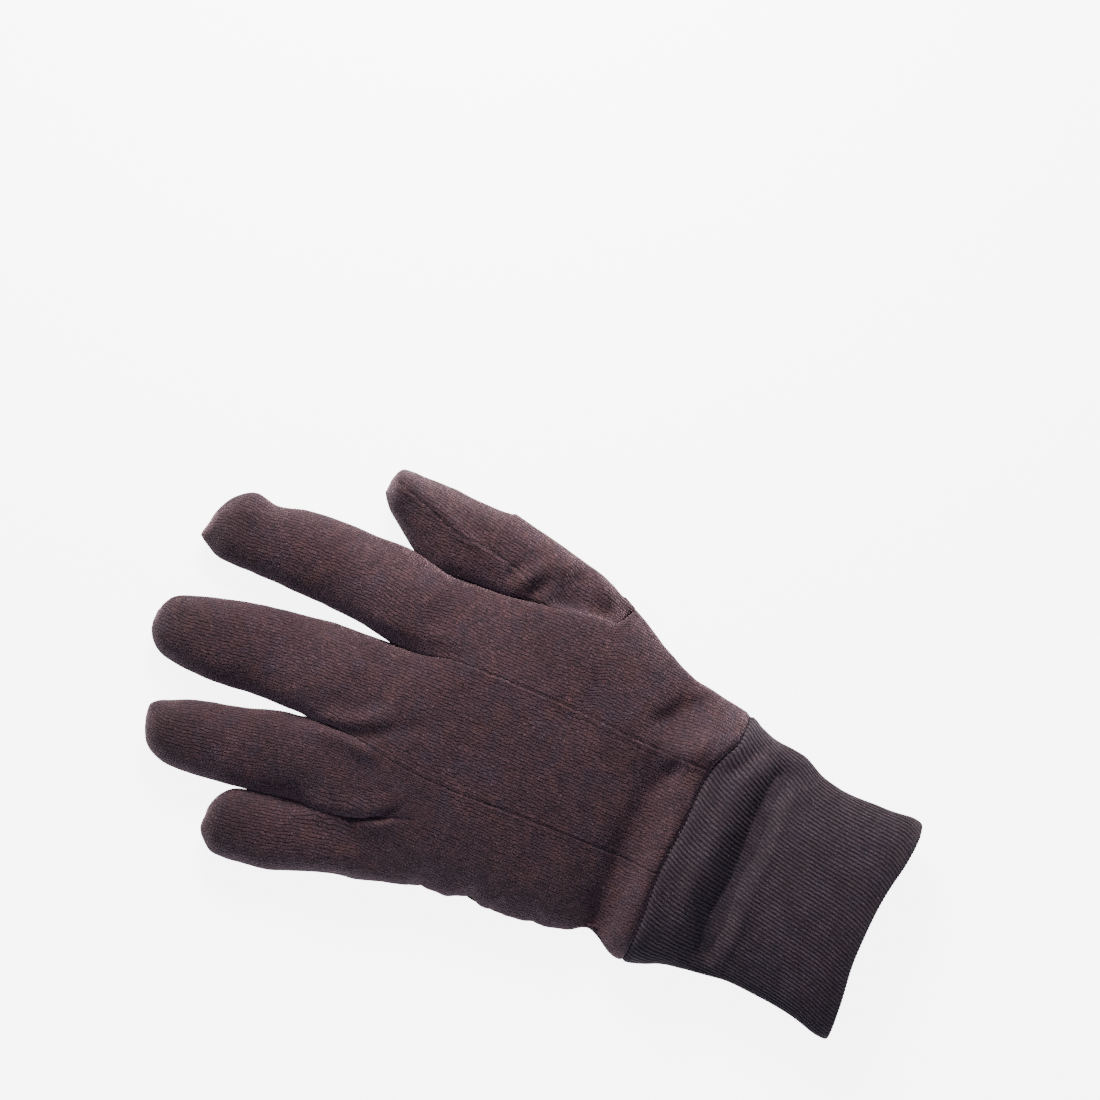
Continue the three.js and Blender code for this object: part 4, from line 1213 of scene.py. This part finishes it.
points = loops.reshape(-1, 3)
index = np.arange(len(points)).reshape(loops.shape[:2])
around, onward = np.roll(index, -1, 1), np.roll(index, -1, 0)
faces = np.stack([index, around, np.roll(around, -1, 0), onward], -1).reshape(-1, 4)
normals = vertex_normals(points, faces)
is_outer = np.arange(len(points)) < len(outer_levels) * column_count
is_outer = is_outer & (points[:, 2] > HAND_THICKNESS * 0.3)
from_seam = seam_sweep(points[:, 0]) - points[:, 1]
relief = fold_relief(points[:, :2], WRIST_FOLDS) * is_outer
relief += 0.5 * cloth_noise(points, 0.07, 53.0) * ease(from_seam, 0, 6)
swelling = wrist_swell(from_seam, normals, points, KNIT_REACH) * (knit[:, 2:] > 0.95)
points = points + upright_on_top(normals, 1.0) * relief[:, None] + swelling
points[:, 2] = np.maximum(points[:, 2], 0)

# Geometry nodes that press the furrows between the ribs, and the courses, into the tube
RIBS = {"Rib Depth": 0.00045, "Course Depth": 0.0001, "Course Pitch": 0.95, "Waver": 0.3}
ribs_group, given, result = new_group(
    "ribs",
    {"Geometry": "Geometry", **{name: "Float" for name in RIBS}, "Seed": "Int",
     "Material": "Material"},
    {"Geometry": "Geometry"}, "GeometryNodeTree",
)
number = partial(maths, ribs_group)
stored = add_node(
    ribs_group, "GeometryNodeInputNamedAttribute", {"Name": "knit"}, data_type="FLOAT_VECTOR",
).outputs["Attribute"]
place = add_node(ribs_group, "ShaderNodeSeparateXYZ", {"Vector": stored}).outputs
position = add_node(ribs_group, "GeometryNodeInputPosition").outputs[0]
waver = sway(ribs_group, position, 90.0, given["Waver"], 1.0, given["Seed"])
rib = number("MULTIPLY", number("ADD", place["X"], waver), math.pi)
ridge = number("POWER", number("ABSOLUTE", number("SINE", rib)), 0.75)
course = number("DIVIDE", place["Y"], given["Course Pitch"])
course = number("SINE", number("MULTIPLY", course, 2 * math.pi))
furrow = number("MULTIPLY", number("SUBTRACT", ridge, 1.0), given["Rib Depth"])
lift = number("MULTIPLY_ADD", course, given["Course Depth"], furrow)
normal = add_node(ribs_group, "GeometryNodeInputNormal").outputs[0]
offset = add_node(
    ribs_group, "ShaderNodeVectorMath",
    {0: normal, "Scale": number("MULTIPLY", lift, place["Z"])}, operation="SCALE",
).outputs["Vector"]
tube = given["Geometry"]
for kind, inputs in (
    ("GeometryNodeSetPosition", {"Offset": offset}), ("GeometryNodeRealizeInstances", {}),
    ("GeometryNodeSetMaterial", {"Material": given["Material"]}),
):
    tube = add_node(ribs_group, kind, {"Geometry": tube, **inputs}).outputs["Geometry"]
ribs_group.links.new(tube, result.inputs["Geometry"])


def apply_tree(made, tree, values):
    """Runs a geometry node tree on an object and keeps its result as a plain mesh."""
    modifier = made.modifiers.new(tree.name, "NODES")
    modifier.node_group = tree
    sockets = tree.interface.items_tree
    sockets = {item.name: item.identifier for item in sockets if item.in_out == "INPUT"}
    for label, value in values.items():
        modifier[sockets[label]] = value
    graph = bpy.context.evaluated_depsgraph_get()
    mesh = bpy.data.meshes.new_from_object(
        made.evaluated_get(graph), preserve_all_data_layers=True, depsgraph=graph,
    )
    made.modifiers.remove(modifier)
    mesh.name = made.name
    made.data = mesh


# Ground and flecks of the rib knit, in the order of SHADES
CHARCOALS = (
    (0.031, 0.0235, 0.0295), (0.08, 0.065, 0.074), (0.013, 0.01, 0.014), (0.038, 0.026, 0.03),
    (0.025, 0.021, 0.029), LINT,
)
RIB_LOOPS = {"Wale Pitch": 0.5, "Course Pitch": 0.95, "Waver": 0.05, "Pull": 0.1}
# Painted shade in the furrows between the ribs and painted highlight on their ridges
FURROW_SHADE_TINT = (0.58, 0.5, 0.58)
RIDGE_HIGHLIGHT_TINT = (1.8, 1.75, 1.8)

rib_material, tree = new_material("rib_knit")
place, loops, heather = knit_nodes(tree, RIB_LOOPS, CHARCOALS, 0.7, (1.5, 1.0, 0.0))
number = partial(maths, tree)
across = add_node(tree, "ShaderNodeSeparateXYZ", {"Vector": place}).outputs["X"]
across = number("ADD", across, sway(tree, place, 0.7, 0.7))
ridge = number("ABSOLUTE", number("SINE", number("MULTIPLY", across, math.pi)))
ridge = smooth_steps(tree, ridge, 0.5, 1.0)
patch = map_range(tree, noise_value(tree, place, 0.22, 3.0), (0.3, 0.7), (0.6, 1.3))
# Ridges painted lighter and furrows darker, as painted highlight and shade, more where loops stand
# high
tone = number("MULTIPLY", ridge, number("MULTIPLY_ADD", loops["Height"], 0.8, 0.42))
tone = number("MINIMUM", number("MULTIPLY", tone, patch), 1.0)
furrow_shade_colour, ridge_highlight_colour = (
    times(tree, heather["Color"], tint) for tint in (FURROW_SHADE_TINT, RIDGE_HIGHLIGHT_TINT)
)
colour = blend_colours(tree, tone, furrow_shade_colour, ridge_highlight_colour)
sheen = (0.15, 0.4, (0.75, 0.65, 0.7))
finish_cloth(tree, colour, loops, heather, 0.5, (0.7, 0.00025), sheen)

knit_wrist = make_object("knit_wrist_ribs", points, faces, knit, rib_material, {})
apply_tree(knit_wrist, ribs_group, {**RIBS, "Seed": 5, "Material": rib_material})
finish_piece(knit_wrist, "knit_wrist")
